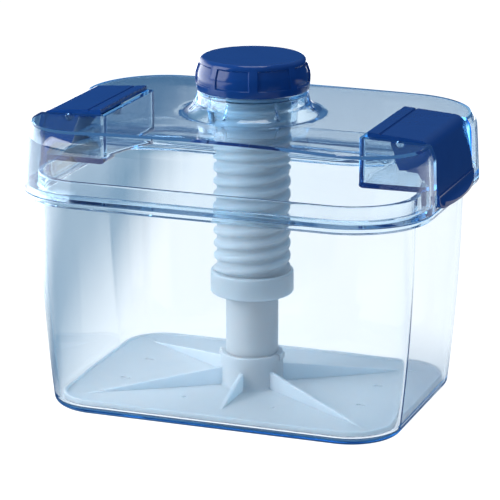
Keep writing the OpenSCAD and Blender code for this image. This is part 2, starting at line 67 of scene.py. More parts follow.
# %% Place the camera
PHOTO_WIDTH = 500
FOCAL_PIXELS = 2710.77
SENSOR = 36.0
azimuth = math.radians(20.3176)
elevation = math.radians(15.7656)
distance = 1297.43 * MM
aim_side = -1.3687 * MM
aim_height = 71.0643 * MM

back = Vector((
    math.sin(azimuth) * math.cos(elevation),
    -math.cos(azimuth) * math.cos(elevation),
    math.sin(elevation),
))
aim = Vector((aim_side * math.cos(azimuth), aim_side * math.sin(azimuth), aim_height))
bpy.ops.object.camera_add(location=aim + back * distance)
camera = bpy.context.object
camera.name = "photo_camera"
camera.rotation_euler = (-back).to_track_quat("-Z", "Y").to_euler()
camera.data.lens = FOCAL_PIXELS * SENSOR / PHOTO_WIDTH
camera.data.sensor_width = SENSOR
bpy.context.scene.camera = camera
bpy.context.scene.view_settings.view_transform = "Standard"
print("lens in mm:", round(camera.data.lens, 1))

# %% [markdown]
# ## Light and floor
# The studio is white behind the press, and the camera sees only that. Glossy and clear
# walls show more of a room, as in the photo: bright paper on the left, dark blue cards on
# the other sides, and a strip of painted shade on the floor under the left end, seen only
# through the clear walls. Matt surfaces get a soft, bluish light from the sides, so that
# the lamp on the left can shape the screw and the plate.

# %% Helpers for node trees
def new_node(tree, kind, **settings):
    node = tree.nodes.new(kind)
    for key, value in settings.items():
        setattr(node, key, value)
    return node


def plug(tree, value, socket):
    """Link a socket to another one, or set it to a plain value."""
    if isinstance(value, bpy.types.NodeSocket):
        tree.links.new(value, socket)
    else:
        socket.default_value = value


def maths(tree, operation, a, b):
    node = new_node(tree, "ShaderNodeMath", operation=operation)
    plug(tree, a, node.inputs[0])
    plug(tree, b, node.inputs[1])
    return node.outputs[0]


def blend(tree, part, first, second):
    """A mix of two colours; each is a socket or a plain (r, g, b)."""
    node = new_node(tree, "ShaderNodeMix", data_type="RGBA")
    for socket, value in ((node.inputs["Factor"], part), (node.inputs[6], first),
                          (node.inputs[7], second)):
        plug(tree, (*value, 1) if isinstance(value, tuple) else value, socket)
    return node.outputs[2]


def spread(tree, value, low, high, to_low=0.0, to_high=1.0):
    """Map a value from one range to another, smoothly."""
    node = new_node(tree, "ShaderNodeMapRange", interpolation_type="SMOOTHSTEP")
    for socket, number in zip(node.inputs, (value, low, high, to_low, to_high)):
        plug(tree, number, socket)
    return node.outputs[0]


def along(tree, place, way):
    """How far a place lies along a way, such as the sideways direction of the photo."""
    node = new_node(tree, "ShaderNodeVectorMath", operation="DOT_PRODUCT")
    plug(tree, place, node.inputs[0])
    plug(tree, way, node.inputs[1])
    return node.outputs["Value"]


def ramp(tree, value, stops):
    """A colour ramp through stops of (position, colour)."""
    node = new_node(tree, "ShaderNodeValToRGB")
    plug(tree, value, node.inputs[0])
    marks = node.color_ramp.elements
    while len(marks) < len(stops):
        marks.new(1.0)
    for mark, (position, colour) in zip(marks, stops):
        mark.position = position
        mark.color = (*colour, 1)
    return node.outputs[0]


def shown_rays(tree, mirrored):
    """1 for rays that show the background, less for the mirrored ones."""
    path = new_node(tree, "ShaderNodeLightPath").outputs
    shows = maths(tree, "MAXIMUM", path["Is Camera Ray"], path["Is Transmission Ray"])
    mirror = maths(tree, "MULTIPLY", path["Is Glossy Ray"], mirrored)
    shows = maths(tree, "MAXIMUM", shows, mirror)
    first = maths(tree, "LESS_THAN", path["Diffuse Depth"], 0.5)
    return maths(tree, "MULTIPLY", shows, first)


# %% [markdown]
# ### The room
# A world can be one flat colour, but a clear wall has no edges in an evenly white room. So
# mirrored rays see bright paper on one side and dark card on the others, and matt surfaces
# get a soft light that is bluer on the right. Light Path tells the kinds of ray apart.

# %% World
WHITE = (1.0, 1.0, 1.0)
AMBIENT_LEFT, AMBIENT_RIGHT = (0.36, 0.41, 0.47), (0.18, 0.33, 0.48)
MIRROR_BRIGHT, MIRROR_DARK = (4.0, 4.1, 4.2), (0.03, 0.08, 0.20)
MIRROR_TOP = (0.16, 0.27, 0.42)
BRIGHT_TURN = math.radians(37)
AMBIENT_EDGE, BRIGHT_EDGE, TOP_EDGE = (-0.9, 0.9), (0.72, 0.95), (0.15, 0.6)
sideways = (math.cos(azimuth), math.sin(azimuth), 0)
backwards = (-math.sin(azimuth), math.cos(azimuth), 0)
bright_way = (-math.cos(azimuth - BRIGHT_TURN), -math.sin(azimuth - BRIGHT_TURN), 0)
world = bpy.data.worlds.new("studio")
bpy.context.scene.world = world
world.use_nodes = True
tree = world.node_tree
backdrop = tree.nodes["Background"]
way = new_node(tree, "ShaderNodeTexCoord").outputs["Generated"]
split = new_node(tree, "ShaderNodeSeparateXYZ")
tree.links.new(way, split.inputs[0])
mirror = blend(tree, spread(tree, along(tree, way, bright_way), *BRIGHT_EDGE),
               MIRROR_DARK, MIRROR_BRIGHT)
mirror = blend(tree, spread(tree, split.outputs["Z"], *TOP_EDGE), mirror, MIRROR_TOP)
ambient = blend(tree, spread(tree, along(tree, way, sideways), *AMBIENT_EDGE),
                AMBIENT_LEFT, AMBIENT_RIGHT)
seen = blend(tree, shown_rays(tree, 1.0), ambient, mirror)
direct = new_node(tree, "ShaderNodeLightPath").outputs["Is Camera Ray"]
tree.links.new(blend(tree, direct, seen, WHITE), backdrop.inputs["Color"])
print("nodes in the world:", len(tree.nodes))

# %% [markdown]
# ### The floor
# The floor is one large plane. Its matt paper takes the shadow, and a white glow hides the
# rest of it from the camera. Clear walls show it too, with a strip of painted shade under
# the left end. Mirrored rays see a white table near the press and dark card beyond it,
# which draws the edges of the tub. A plain white floor would be simpler, but the tub would
# vanish.

# %% Floor
FLOOR_SIZE = 6.0
FLOOR_PAPER, FLOOR_LIFT, FLOOR_GLOW = 0.25, 0.95, 0.35
SHADED_LEFT = (0.08, 0.20, 0.31)
SHADE_TURN = math.radians(5)
SHADE_EDGE, TABLE_FRONT, TABLE_BACK = (-0.13, -0.07), (0.0, 0.08), (0.34, 0.42)
PAPER_EDGE = (0.2, 0.42)
shade_way = (math.cos(azimuth - SHADE_TURN), math.sin(azimuth - SHADE_TURN), 0)
bpy.ops.mesh.primitive_plane_add(size=FLOOR_SIZE)
floor = bpy.context.object
floor.name = "floor"
floor.data.materials.append(bpy.data.materials.new("floor_paper"))
floor.data.materials[0].use_nodes = True
tree = floor.data.materials[0].node_tree
tree.nodes.clear()
place = new_node(tree, "ShaderNodeTexCoord").outputs["Object"]
path = new_node(tree, "ShaderNodeLightPath").outputs
paper = new_node(tree, "ShaderNodeBsdfDiffuse")
paper.inputs["Color"].default_value = (FLOOR_PAPER, FLOOR_PAPER, FLOOR_PAPER, 1)
lift = new_node(tree, "ShaderNodeEmission")
# Painted shade: rays through the clear walls see the floor darker under the left end.
through = blend(tree, spread(tree, along(tree, place, shade_way), *SHADE_EDGE),
                SHADED_LEFT, WHITE)
tree.links.new(blend(tree, path["Is Camera Ray"], through, WHITE), lift.inputs["Color"])
shown = maths(tree, "MULTIPLY", shown_rays(tree, 0.0), FLOOR_LIFT)
glow = maths(tree, "MULTIPLY", maths(tree, "GREATER_THAN", path["Diffuse Depth"], 0.5),
             FLOOR_GLOW)
tree.links.new(maths(tree, "ADD", shown, glow), lift.inputs["Strength"])
both = new_node(tree, "ShaderNodeAddShader")
tree.links.new(paper.outputs[0], both.inputs[0])
tree.links.new(lift.outputs[0], both.inputs[1])
mirrored = new_node(tree, "ShaderNodeEmission")
behind = along(tree, place, backwards)
near = maths(tree, "MULTIPLY", spread(tree, behind, *TABLE_FRONT),
             spread(tree, behind, *TABLE_BACK, 1.0, 0.0))
table = blend(tree, near, MIRROR_DARK, WHITE)
tree.links.new(blend(tree, spread(tree, along(tree, place, bright_way), *PAPER_EDGE),
                     table, MIRROR_BRIGHT), mirrored.inputs["Color"])
mix = new_node(tree, "ShaderNodeMixShader")
tree.links.new(maths(tree, "GREATER_THAN", path["Is Glossy Ray"],
                     path["Is Transmission Ray"]), mix.inputs[0])
tree.links.new(both.outputs[0], mix.inputs[1])
tree.links.new(mirrored.outputs[0], mix.inputs[2])
out = new_node(tree, "ShaderNodeOutputMaterial")
tree.links.new(mix.outputs[0], out.inputs["Surface"])
print("floor:", FLOOR_SIZE, "m wide,", len(tree.nodes), "nodes")

# %% [markdown]
# ### The lamps
# Two square lamps are enough: a large one close by on the left for the soft gradient on the
# screw and the post, and one high above and behind for the tops. More power would clip the
# pale walls to white.

# %% Lamps
def add_lamp(name, place, size, power):
    """A square lamp at a place, turned to the middle of the press."""
    bpy.ops.object.light_add(type="AREA", location=place)
    lamp = bpy.context.object
    lamp.name = name
    towards = Vector((0, 0, aim_height)) - Vector(place)
    lamp.rotation_euler = towards.to_track_quat("-Z", "Y").to_euler()
    lamp.data.size = size
    lamp.data.energy = power
    lamp.visible_camera = False
    print(f"{name}: {size} m wide, {power} W")


add_lamp("key_lamp", (-0.47, -0.34, 0.35), 0.4, 2.7)
add_lamp("top_lamp", (-0.1, 0.3, 1.4), 0.5, 4.5)

# %% [markdown]
# ## Finishes
# Five finishes cover the press: clear plastic for the tub, a bluer one for the thicker lid,
# deep blue plastic, milky plastic and bright wire. Moulded plastic is never quite even, so
# each one carries a little noise.

# %% Noise and bump helpers
def noise(tree, scale, detail=2.0):
    """Noise on the piece's own coordinates; the scale counts waves in a metre."""
    place = new_node(tree, "ShaderNodeTexCoord").outputs["Object"]
    node = new_node(tree, "ShaderNodeTexNoise")
    tree.links.new(place, node.inputs["Vector"])
    node.inputs["Scale"].default_value = scale
    node.inputs["Detail"].default_value = detail
    return node.outputs["Fac"]


def bump(tree, height, depth):
    """A bump of a height map; depth is the height in metres of its full range."""
    node = new_node(tree, "ShaderNodeBump")
    node.inputs["Strength"].default_value = 1
    node.inputs["Distance"].default_value = depth
    tree.links.new(height, node.inputs["Height"])
    return node.outputs["Normal"]


def finish_for(name, **settings):
    """A new material whose shader has these plain values on its sockets."""
    material = bpy.data.materials.new(name)
    material.use_nodes = True
    skin = material.node_tree.nodes["Principled BSDF"]
    for key, value in settings.items():
        skin.inputs[key.replace("_", " ")].default_value = value
    print("finish:", name)
    return material, material.node_tree, skin


# %% [markdown]
# ### Clear plastic
# The tub and the lid are clear moulded plastic. A plain glass shader looks grey: real walls
# are bluer where light runs a long way inside them. Absorption gives that in the thick
# parts, and a tint by viewing angle gives it where a wall is seen edge on. Rays caught
# between the two walls pass straight on, because otherwise they would end as black lines.

# %% Clear plastic
GRAZING_TINTS = (
    (0.0, (1.0, 1.0, 1.0)),
    (0.75, (0.97, 0.985, 1.0)),
    (0.83, (0.76, 0.86, 0.94)),
    (0.92, (0.26, 0.46, 0.70)),
    (1.0, (0.02, 0.08, 0.24)),
)
WALL_TINT, STRAIGHT_TINT = (0.22, 0.64, 0.90), (0.94, 0.97, 0.99)
CAUGHT = 2.5


def clear_plastic(name, density):
    """Clear plastic that is bluer where it is seen edge on, or where it is thick."""
    material, tree, skin = finish_for(
        name, Transmission_Weight=1.0, IOR=1.5, Specular_IOR_Level=0.5)
    angle = new_node(tree, "ShaderNodeLayerWeight")
    angle.inputs["Blend"].default_value = 0.5
    tree.links.new(ramp(tree, angle.outputs["Facing"], GRAZING_TINTS),
                   skin.inputs["Base Color"])
    tree.links.new(spread(tree, noise(tree, 40), 0.3, 0.7, 0.008, 0.03),
                   skin.inputs["Roughness"])
    tree.links.new(bump(tree, noise(tree, 30), 0.00004), skin.inputs["Normal"])
    passes = new_node(tree, "ShaderNodeBsdfTransparent")
    passes.inputs["Color"].default_value = (*STRAIGHT_TINT, 1)
    path = new_node(tree, "ShaderNodeLightPath").outputs
    caught = maths(tree, "GREATER_THAN", path["Glossy Depth"], CAUGHT)
    mix = new_node(tree, "ShaderNodeMixShader")
    tree.links.new(maths(tree, "MAXIMUM", path["Is Shadow Ray"], caught), mix.inputs[0])
    tree.links.new(skin.outputs[0], mix.inputs[1])
    tree.links.new(passes.outputs[0], mix.inputs[2])
    depth = new_node(tree, "ShaderNodeVolumeAbsorption")
    depth.inputs["Color"].default_value = (*WALL_TINT, 1)
    depth.inputs["Density"].default_value = density
    out = tree.nodes["Material Output"]
    tree.links.new(mix.outputs[0], out.inputs["Surface"])
    tree.links.new(depth.outputs[0], out.inputs["Volume"])
    return material


tub_plastic = clear_plastic("clear_tub_plastic", 30)
lid_plastic = clear_plastic("clear_lid_plastic", 75)

# %% [markdown]
# ### Blue plastic
# The knob and the latches are polished and dyed right through. One dark blue would do from
# far away. Up close a little noise in colour, gloss and height keeps the large faces from
# looking painted.

# %% Blue plastic
BLUE_DARK, BLUE_LIGHT = (0.006, 0.050, 0.235), (0.009, 0.062, 0.275)
blue_plastic, tree, skin = finish_for("blue_plastic", Specular_IOR_Level=0.3, IOR=1.5)
tree.links.new(blend(tree, noise(tree, 90, 4.0), BLUE_DARK, BLUE_LIGHT),
               skin.inputs["Base Color"])
tree.links.new(spread(tree, noise(tree, 400), 0.3, 0.7, 0.10, 0.15),
               skin.inputs["Roughness"])
tree.links.new(bump(tree, noise(tree, 1200, 1.0), 0.0000015), skin.inputs["Normal"])

# %% [markdown]
# ### Milky plastic
# The screw, the post and the plate are cloudy white. A matt white would look like chalk.
# Light enters this plastic and comes out some way off, so the shader scatters it below the
# surface, which also softens the shade between the ridges of the thread.

# %% Milky plastic
MILK_DARK, MILK_LIGHT = (0.64, 0.72, 0.80), (0.69, 0.76, 0.83)
milky_plastic, tree, skin = finish_for(
    "milky_plastic", Subsurface_Weight=0.9, Subsurface_Radius=(0.7, 0.9, 1.0),
    Subsurface_Scale=0.01, IOR=1.45)
tree.links.new(blend(tree, noise(tree, 60, 3.0), MILK_DARK, MILK_LIGHT),
               skin.inputs["Base Color"])
tree.links.new(spread(tree, noise(tree, 300), 0.3, 0.7, 0.35, 0.5),
               skin.inputs["Roughness"])
tree.links.new(bump(tree, noise(tree, 1800, 1.0), 0.000008), skin.inputs["Normal"])

# %% [markdown]
# ### Spring wire
# The spring is drawn steel. Metal takes its colour from what it mirrors, so uneven gloss
# shows more on it than an uneven colour, and it gets both.

# %% Spring wire
STEEL_DARK, STEEL_LIGHT = (0.62, 0.63, 0.66), (0.74, 0.75, 0.77)
spring_steel, tree, skin = finish_for("spring_steel", Metallic=1.0)
tree.links.new(blend(tree, noise(tree, 900, 4.0), STEEL_DARK, STEEL_LIGHT),
               skin.inputs["Base Color"])
tree.links.new(spread(tree, noise(tree, 1500), 0.3, 0.7, 0.2, 0.34),
               skin.inputs["Roughness"])

# %% [markdown]
# ## Drawing and selecting
# Each piece starts as a primitive or a chain of edges and is shaped in edit mode. These
# helpers do what a hand does with the mouse: select a piece, draw an outline point by
# point, and pick the edges or faces at some place.

# %% Select and draw
DOUBLES = 0.002


def take(*pieces):
    """Leave edit mode and select only these pieces, the first one as the active piece."""
    if bpy.context.mode != "OBJECT":
        bpy.ops.object.mode_set(mode="OBJECT")
    bpy.ops.object.select_all(action="DESELECT")
    for piece in pieces:
        piece.select_set(True)
    if pieces:
        bpy.context.view_layer.objects.active = pieces[0]


def draw(name, points):
    """A chain of edges through points in mm: one vertex, extruded again and again."""
    take()
    bpy.ops.mesh.primitive_plane_add(size=MM)
    chain = bpy.context.object
    chain.name = name
    bpy.ops.object.mode_set(mode="EDIT")
    bpy.ops.mesh.select_mode(type="VERT")
    bpy.ops.mesh.merge(type="CENTER")
    places = [Vector(p) * MM for p in points]
    bpy.ops.transform.translate(value=places[0])
    for start, end in zip(places, places[1:]):
        bpy.ops.mesh.extrude_vertices_move(TRANSFORM_OT_translate={"value": end - start})
    return chain


def pick(kind, test):
    """In edit mode, select the parts whose middle, in mm, passes a test."""
    bpy.ops.mesh.select_mode(type=kind)
    bpy.ops.mesh.select_all(action="DESELECT")
    mesh = bmesh.from_edit_mesh(bpy.context.object.data)
    parts = {"VERT": mesh.verts, "EDGE": mesh.edges, "FACE": mesh.faces}[kind]
    found = 0
    for part in parts:
        if kind == "VERT":
            middle = part.co / MM
        elif kind == "EDGE":
            middle = (part.verts[0].co + part.verts[1].co) / 2 / MM
        else:
            middle = part.calc_center_median() / MM
        if test(middle, part):
            part.select_set(True)
            found += 1
    mesh.select_flush_mode()
    bmesh.update_edit_mesh(bpy.context.object.data)
    return found


def merge(threshold):
    """In edit mode, merge all vertices that are closer than a threshold in mm."""
    bpy.ops.mesh.select_all(action="SELECT")
    bpy.ops.mesh.remove_doubles(threshold=threshold * MM)
    bpy.ops.mesh.select_all(action="SELECT")


def tidy():
    """In edit mode, merge doubles and turn every face outwards."""
    bpy.ops.mesh.select_mode(type="VERT")
    merge(DOUBLES)
    bpy.ops.mesh.normals_make_consistent(inside=False)


# %% [markdown]
# An outline becomes a round piece when it is spun, and a slab when it is extruded. Where
# a plain cylinder is enough, it is Blender's own.

# %% Spin and extrude
def spun(name, outline, steps=96):
    """Draw an outline of distance and height, and spin it once round the screw's axis."""
    piece = draw(name, [(r, 0, z) for r, z in outline])
    bpy.ops.mesh.select_all(action="SELECT")
    bpy.ops.mesh.spin(steps=steps, angle=math.tau, center=(0, 0, 0), axis=(0, 0, 1))
    tidy()
    take(piece)
    return piece


def slab(name, outline, half):
    """Draw a closed outline of X and height, fill it and extrude it along Y."""
    piece = draw(name, [(x, -half, z) for x, z in outline])
    merge(DOUBLES)
    bpy.ops.mesh.edge_face_add()
    bpy.ops.mesh.extrude_region_move(
        TRANSFORM_OT_translate={"value": (0, 2 * half * MM, 0)})
    tidy()
    take(piece)
    return piece


def rod(vertices, radius, depth, place, turn=(0, 0, 0)):
    """A cylinder at a place in mm, with its turn applied to its mesh."""
    take()
    bpy.ops.mesh.primitive_cylinder_add(
        vertices=vertices, radius=radius * MM, depth=depth * MM,
        location=[v * MM for v in place], rotation=turn)
    bpy.ops.object.transform_apply(location=True, rotation=True, scale=True)
    return bpy.context.object


# %% [markdown]
# The corners of an outline are rounded by arcs of a few points, because no edge of a
# moulding is sharp.

# %% Arcs and rounded corners
def arc(middle, radius, start, end, steps):
    """Points of an arc between two angles in degrees, as pairs in mm."""
    turns = [math.radians(start + (end - start) * i / steps) for i in range(steps + 1)]
    return [(middle[0] + radius * math.cos(t), middle[1] + radius * math.sin(t))
            for t in turns]


def rounded(corners, steps=4):
    """A closed outline through corners (x, z, radius), each rounded by its radius."""
    outline = []
    for i, (x, z, radius) in enumerate(corners):
        here = Vector((x, z))
        before = (Vector(corners[i - 1][:2]) - here).normalized()
        after = (Vector(corners[(i + 1) % len(corners)][:2]) - here).normalized()
        if not radius:
            outline.append((x, z))
            continue
        half = before.angle(after) / 2
        middle = here + (before + after).normalized() * radius / math.sin(half)
        start = (here + before * radius / math.tan(half) - middle).normalized()
        end = (here + after * radius / math.tan(half) - middle).normalized()
        for k in range(steps + 1):
            outline.append(
                tuple(middle + start.slerp(end, k / steps).normalized() * radius))
    return outline + outline[:1]


# %% [markdown]
# Two forms are joined or cut with the Boolean modifier. Its exact solver copes with faces
# that lie in one plane. A form that repeats is made once, copied and turned round the axis.

# %% Join, cut and copy
def combine(piece, other, operation):
    """Join, cut or keep the overlap of two pieces, and delete the second."""
    step = piece.modifiers.new("combine", "BOOLEAN")
    step.operation = operation
    step.solver = "EXACT"
    step.object = other
    take(piece)
    bpy.ops.object.modifier_apply(modifier=step.name)
    bpy.data.objects.remove(other)
    return piece


def copy_turned(piece, name, angle):
    """A copy with its own mesh, turned round the screw's axis."""
    take(piece)
    bpy.ops.object.duplicate()
    twin = bpy.context.object
    twin.name = name
    bpy.ops.object.mode_set(mode="EDIT")
    bpy.ops.mesh.select_all(action="SELECT")
    bpy.ops.transform.rotate(value=-angle, orient_axis="Z", center_override=(0, 0, 0))
    take(twin)
    return twin


# %% [markdown]
# The Bevel modifier rounds edges that were not drawn round, as far as the smallest edges
# beside them leave room. Weighted Normal keeps the large faces flat to the eye. Last, each
# piece gets its finish and the body that it moves with.

# %% Soften and dress
TINY, FLAT = 0.03, 0.001


def soften(piece, width, segments=3, angle=35, flat_faces=True, crease=None):
    """Round every edge sharper than an angle, and shade the rest smooth.

    Tiny edges left by the cuts are merged first, because they would hold the rounding
    back. The edges that pass the test called crease stay sharp to the eye.
    """
    take(piece)
    if width:
        bpy.ops.object.mode_set(mode="EDIT")
        merge(TINY)
        take(piece)
        step = piece.modifiers.new("soften", "BEVEL")
        step.width = width * MM
        step.segments = segments
        step.limit_method = "ANGLE"
        step.angle_limit = math.radians(angle)
        bpy.ops.object.modifier_apply(modifier=step.name)
        bpy.ops.object.mode_set(mode="EDIT")
        bpy.ops.mesh.select_all(action="SELECT")
        bpy.ops.mesh.dissolve_degenerate(threshold=FLAT * MM)
        take(piece)
    bpy.ops.object.shade_smooth_by_angle(angle=math.radians(angle))
    if crease:
        bpy.ops.object.mode_set(mode="EDIT")
        print("crease edges:", pick("EDGE", crease))
        bpy.ops.mesh.mark_sharp()
        take(piece)
    if flat_faces:
        step = piece.modifiers.new("flat_faces", "WEIGHTED_NORMAL")
        step.keep_sharp = True
        bpy.ops.object.modifier_apply(modifier=step.name)
    return piece


def dress(piece, body, finish, slot, *nodes):
    """Give a finished piece its material, its body and the CAD nodes that it stands for."""
    take(piece)
    piece.data.materials.clear()
    piece.data.materials.append(finish)
    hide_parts(*nodes)
    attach(piece, body)
    mesh = bmesh.new()
    mesh.from_mesh(piece.data)
    open_edges = sum(not edge.is_manifold for edge in mesh.edges)
    volume = mesh.calc_volume(signed=True) / MM ** 3 / 1000
    print(f"{piece.name}: {len(mesh.faces)} faces, {open_edges} open edges, "
          f"{volume:.1f} cm3")
    mesh.free()


def size_of(node):
    """Lowest and highest corner of a CAD node, in mm."""
    low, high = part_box(node)
    return low / MM, high / MM


# %% [markdown]
# ## The tub
# The tub is one injection moulding: walls that lean in towards the foot, a flat rim that
# carries the lid, and a thin lip inside the lid. It could be carved from a box with an
# inset, but every wall has the same section, so that section is drawn once. It is spun
# round each corner and extruded along each side.

# %% Sizes of the tub
rim_x, rim_y, lip_top = size_of("container")[1]
lid_low, lid_high = size_of("lid")
seat_z = lid_low.z
rim_corner = 38.2
corner_x = rim_x - rim_corner
corner_y = rim_y - rim_corner
rim_under = seat_z - 3
wall_r = rim_corner - 7.5
wall_lean = 6.1
wall = 2.4
floor_top = 2.6
foot_round = 4
floor_round = 3
foot_hollow = 0.8
foot_ring = 5
CORNER_STEPS = 24


def wall_at(z):
    """Distance of the tub's outer wall from the corner's middle line, at a height."""
    return wall_r - wall_lean * (max(rim_under - z, 0) / rim_under) ** 2


print("rim in mm:", round(2 * rim_x, 1), "by", round(2 * rim_y, 1))

# %% [markdown]
# The sweep goes once round the rectangle: a quarter spin at each corner, then an extrusion
# along the side that follows. The flat middle of the floor is filled last.

# %% Sweep a section round the tub
def swept(name, section):
    """Sweep a section of distance and height round the rectangle of corner middles."""
    piece = draw(name, [(corner_x + c, corner_y, z) for c, z in section])
    bpy.ops.mesh.select_all(action="SELECT")
    for x, y, dx, dy in (
        (corner_x, corner_y, -2 * corner_x, 0),
        (-corner_x, corner_y, 0, -2 * corner_y),
        (-corner_x, -corner_y, 2 * corner_x, 0),
        (corner_x, -corner_y, 0, 2 * corner_y),
    ):
        bpy.ops.mesh.spin(steps=CORNER_STEPS, angle=-math.pi / 2,
                          center=(x * MM, y * MM, 0), axis=(0, 0, 1))
        bpy.ops.mesh.extrude_region_move(
            TRANSFORM_OT_translate={"value": (dx * MM, dy * MM, 0)})
    tidy()
    bpy.ops.mesh.fill_holes(sides=0)
    tidy()
    take(piece)
    return piece


# %% [markdown]
# The section starts in the hollow under the floor, runs out round the foot and up the
# outside, over the rim and the lip, and down the inside again. Every corner of it is an
# arc, so the tub needs no bevel.

# %% Shape the tub
WALL_STEPS = 20
foot_c = wall_at(foot_round) - foot_round
fill_z = floor_top + floor_round
fill_c = wall_at(fill_z) - wall - floor_round
ring_c = foot_c - foot_ring
outside = [foot_round + (rim_under - 0.8 - foot_round) * i / WALL_STEPS
           for i in range(1, WALL_STEPS)]
inside = [lip_top - 0.8 + (fill_z - lip_top + 0.8) * i / WALL_STEPS
          for i in range(1, WALL_STEPS)]
section = (
    [(0, foot_hollow), (ring_c - 0.8, foot_hollow)]
    + arc((ring_c - 0.5, foot_hollow - 0.4), 0.4, 90, 45, 2)
    + arc((ring_c + 0.3, 0.4), 0.4, 225, 270, 2)
    + arc((foot_c, foot_round), foot_round, -90, 0, 10)
    + [(wall_at(z), z) for z in outside]
    + arc((wall_r + 0.8, rim_under - 0.8), 0.8, 180, 90, 5)
    + arc((rim_corner - 0.8, rim_under + 0.8), 0.8, -90, 0, 5)
    + arc((rim_corner - 0.8, seat_z - 0.8), 0.8, 0, 90, 5)
    + arc((wall_r + 0.35, seat_z + 0.35), 0.35, 270, 180, 3)
    + arc((wall_r - 0.8, lip_top - 0.8), 0.8, 0, 90, 5)
    + arc((wall_r - wall + 0.5, lip_top - 0.5), 0.5, 90, 180, 4)
    + [(wall_at(z) - wall, z) for z in inside]
    + arc((fill_c, fill_z), floor_round, 0, -90, 8)
    + [(0, floor_top)]
)
tub = swept("tub", section)

# %% [markdown]
# The catches are two hooks that stand on the rim, one at each end. The barb of a latch
# snaps under them. They are drawn from the side, joined to the rim, and the second one is
# a copy turned half round.

# %% Catches on the rim
end_wall_in = corner_x + wall_r + 0.5
end_wall_out = end_wall_in + 1.8
catch_in = end_wall_out + 0.3
catch_out = catch_in + 1.4
catch_tip = catch_out + 1.8
catch_top = seat_z + 5
catch_half = 23
print("catch from", round(catch_in, 1), "to", round(catch_tip, 1), "mm")
catch = slab("catch", rounded([
    (catch_in, seat_z - 0.8, 0),
    (catch_out, seat_z - 0.8, 0),
    (catch_out, catch_top - 1.5, 0.3),
    (catch_tip, catch_top - 1.5, 0.3),
    (catch_tip, catch_top, 0.8),
    (catch_in, catch_top, 0.5),
]), catch_half)
second = copy_turned(catch, "catch_left", math.pi)
combine(tub, catch, "UNION")
combine(tub, second, "UNION")
soften(tub, 0)
dress(tub, "base", tub_plastic, "clear_plastic", "container")

# %% [markdown]
# ## The lid
# The lid is a second moulding: a skirt that stands on the rim, a shoulder that curves in
# to a top arched from end to end, a pocket for each latch, and in the middle a neck with
# the nut for the screw. The outside and the hollow are swept as the tub was. Their long
# sides are then moved in, because the shoulder is wider there. An arched block trims both.

# %% Sizes of the lid
lid_top = lid_high.z
LID_WALL = 2.4
FOOT_HEIGHT = 2.4
END_LEAN, SIDE_LEAN = 0.9, 2.4
SHOULDER_END, SHOULDER_SIDE = 5.6, 8.7
SHOULDER_HEIGHT, SHOULDER_TURN, SHOULDER_STEPS = 10.5, 60, 12
shoulder_top = lid_top + 0.6
lid_arch = 2.2
arch_radius = (rim_x ** 2 + lid_arch ** 2) / (2 * lid_arch)


def shoulder(thickness):
    """Levels of the shoulder (distance, extra shift of the long sides, height)."""
    rise = math.sin(math.radians(SHOULDER_TURN))
    run = 1 - math.cos(math.radians(SHOULDER_TURN))
    levels = []
    for i in range(SHOULDER_STEPS + 1):
        turn = math.radians(SHOULDER_TURN * i / SHOULDER_STEPS)
        part = (1 - math.cos(turn)) / run
        inset = END_LEAN + SHOULDER_END * part + thickness * math.cos(turn)
        extra = SIDE_LEAN - END_LEAN + (SHOULDER_SIDE - SHOULDER_END) * part
        z = shoulder_top - SHOULDER_HEIGHT * (1 - math.sin(turn) / rise)
        levels.append((rim_corner - inset, extra, z - thickness * math.sin(turn)))
    return levels


# %% [markdown]
# The same steps make the outside and the hollow, so they are one helper. A block with an
# arched top trims each form. Its faces on the top would be long strips that shade unevenly,
# so they are cut across.

# %% Form of the lid
TOP_CUTS, TOP_REACH = 8, 60
BLOCK_REACH, BLOCK_HALF, BLOCK_FOOT = 105, 80, 90


def lid_form(name, thickness, foot):
    """The lid's form drawn in by a thickness, with its long sides moved to their place."""
    levels = shoulder(thickness)
    form = swept(name, foot + [(c, z) for c, extra, z in levels])
    bpy.ops.object.mode_set(mode="EDIT")
    for c, extra, z in levels:
        for side in (-1, 1):
            pick("VERT", lambda at, part: abs(at.z - z) < 0.01 and at.y * side > 0)
            bpy.ops.transform.translate(value=(0, -side * extra * MM, 0))
    arch = arch_radius - thickness
    reach = math.degrees(math.asin(BLOCK_REACH / arch))
    ends = [(side * BLOCK_REACH, BLOCK_FOOT + rise)
            for side, rise in ((1, 0), (1, 5), (-1, 5), (-1, 0), (1, 0))]
    block = slab(name + "_arch", ends[:2] + arc(
        (0, lid_top - arch_radius), arch, 90 - reach, 90 + reach, 72) + ends[2:],
        BLOCK_HALF)
    combine(form, block, "INTERSECT")
    bpy.ops.object.mode_set(mode="EDIT")
    for i in range(-TOP_CUTS, TOP_CUTS + 1):
        bpy.ops.mesh.select_all(action="SELECT")
        bpy.ops.mesh.bisect(plane_co=(0, i * TOP_REACH / TOP_CUTS * MM, 0),
                            plane_no=(0, 1, 0))
    take(form)
    return form


# %% [markdown]
# The hollow is the same form, thinner by the wall. Its foot is stepped in, so that the lid
# ends in a broad flange, which stands on the rim round the lip of the tub.

# %% Outside and hollow
LID_GAP = 0.08
lid = lid_form("lid_shell", 0, [(rim_corner, seat_z + LID_GAP)])
hollow = lid_form("lid_hollow", LID_WALL, [
    (wall_r + 0.5, seat_z - 2),
    (wall_r + 0.5, seat_z + FOOT_HEIGHT - 0.8),
    (wall_r + 1.3, seat_z + FOOT_HEIGHT),
    (rim_corner - LID_WALL - 0.8, seat_z + FOOT_HEIGHT),
    (rim_corner - LID_WALL, seat_z + FOOT_HEIGHT + 0.8),
])
print("lid form faces:", len(lid.data.polygons), len(hollow.data.polygons))

# %% [markdown]
# Each latch lies in a pocket that is open at the end of the lid. The pocket's walls are
# what is left between two blocks: the larger one is kept out of the hollow, the smaller
# one is cut out of the lid.

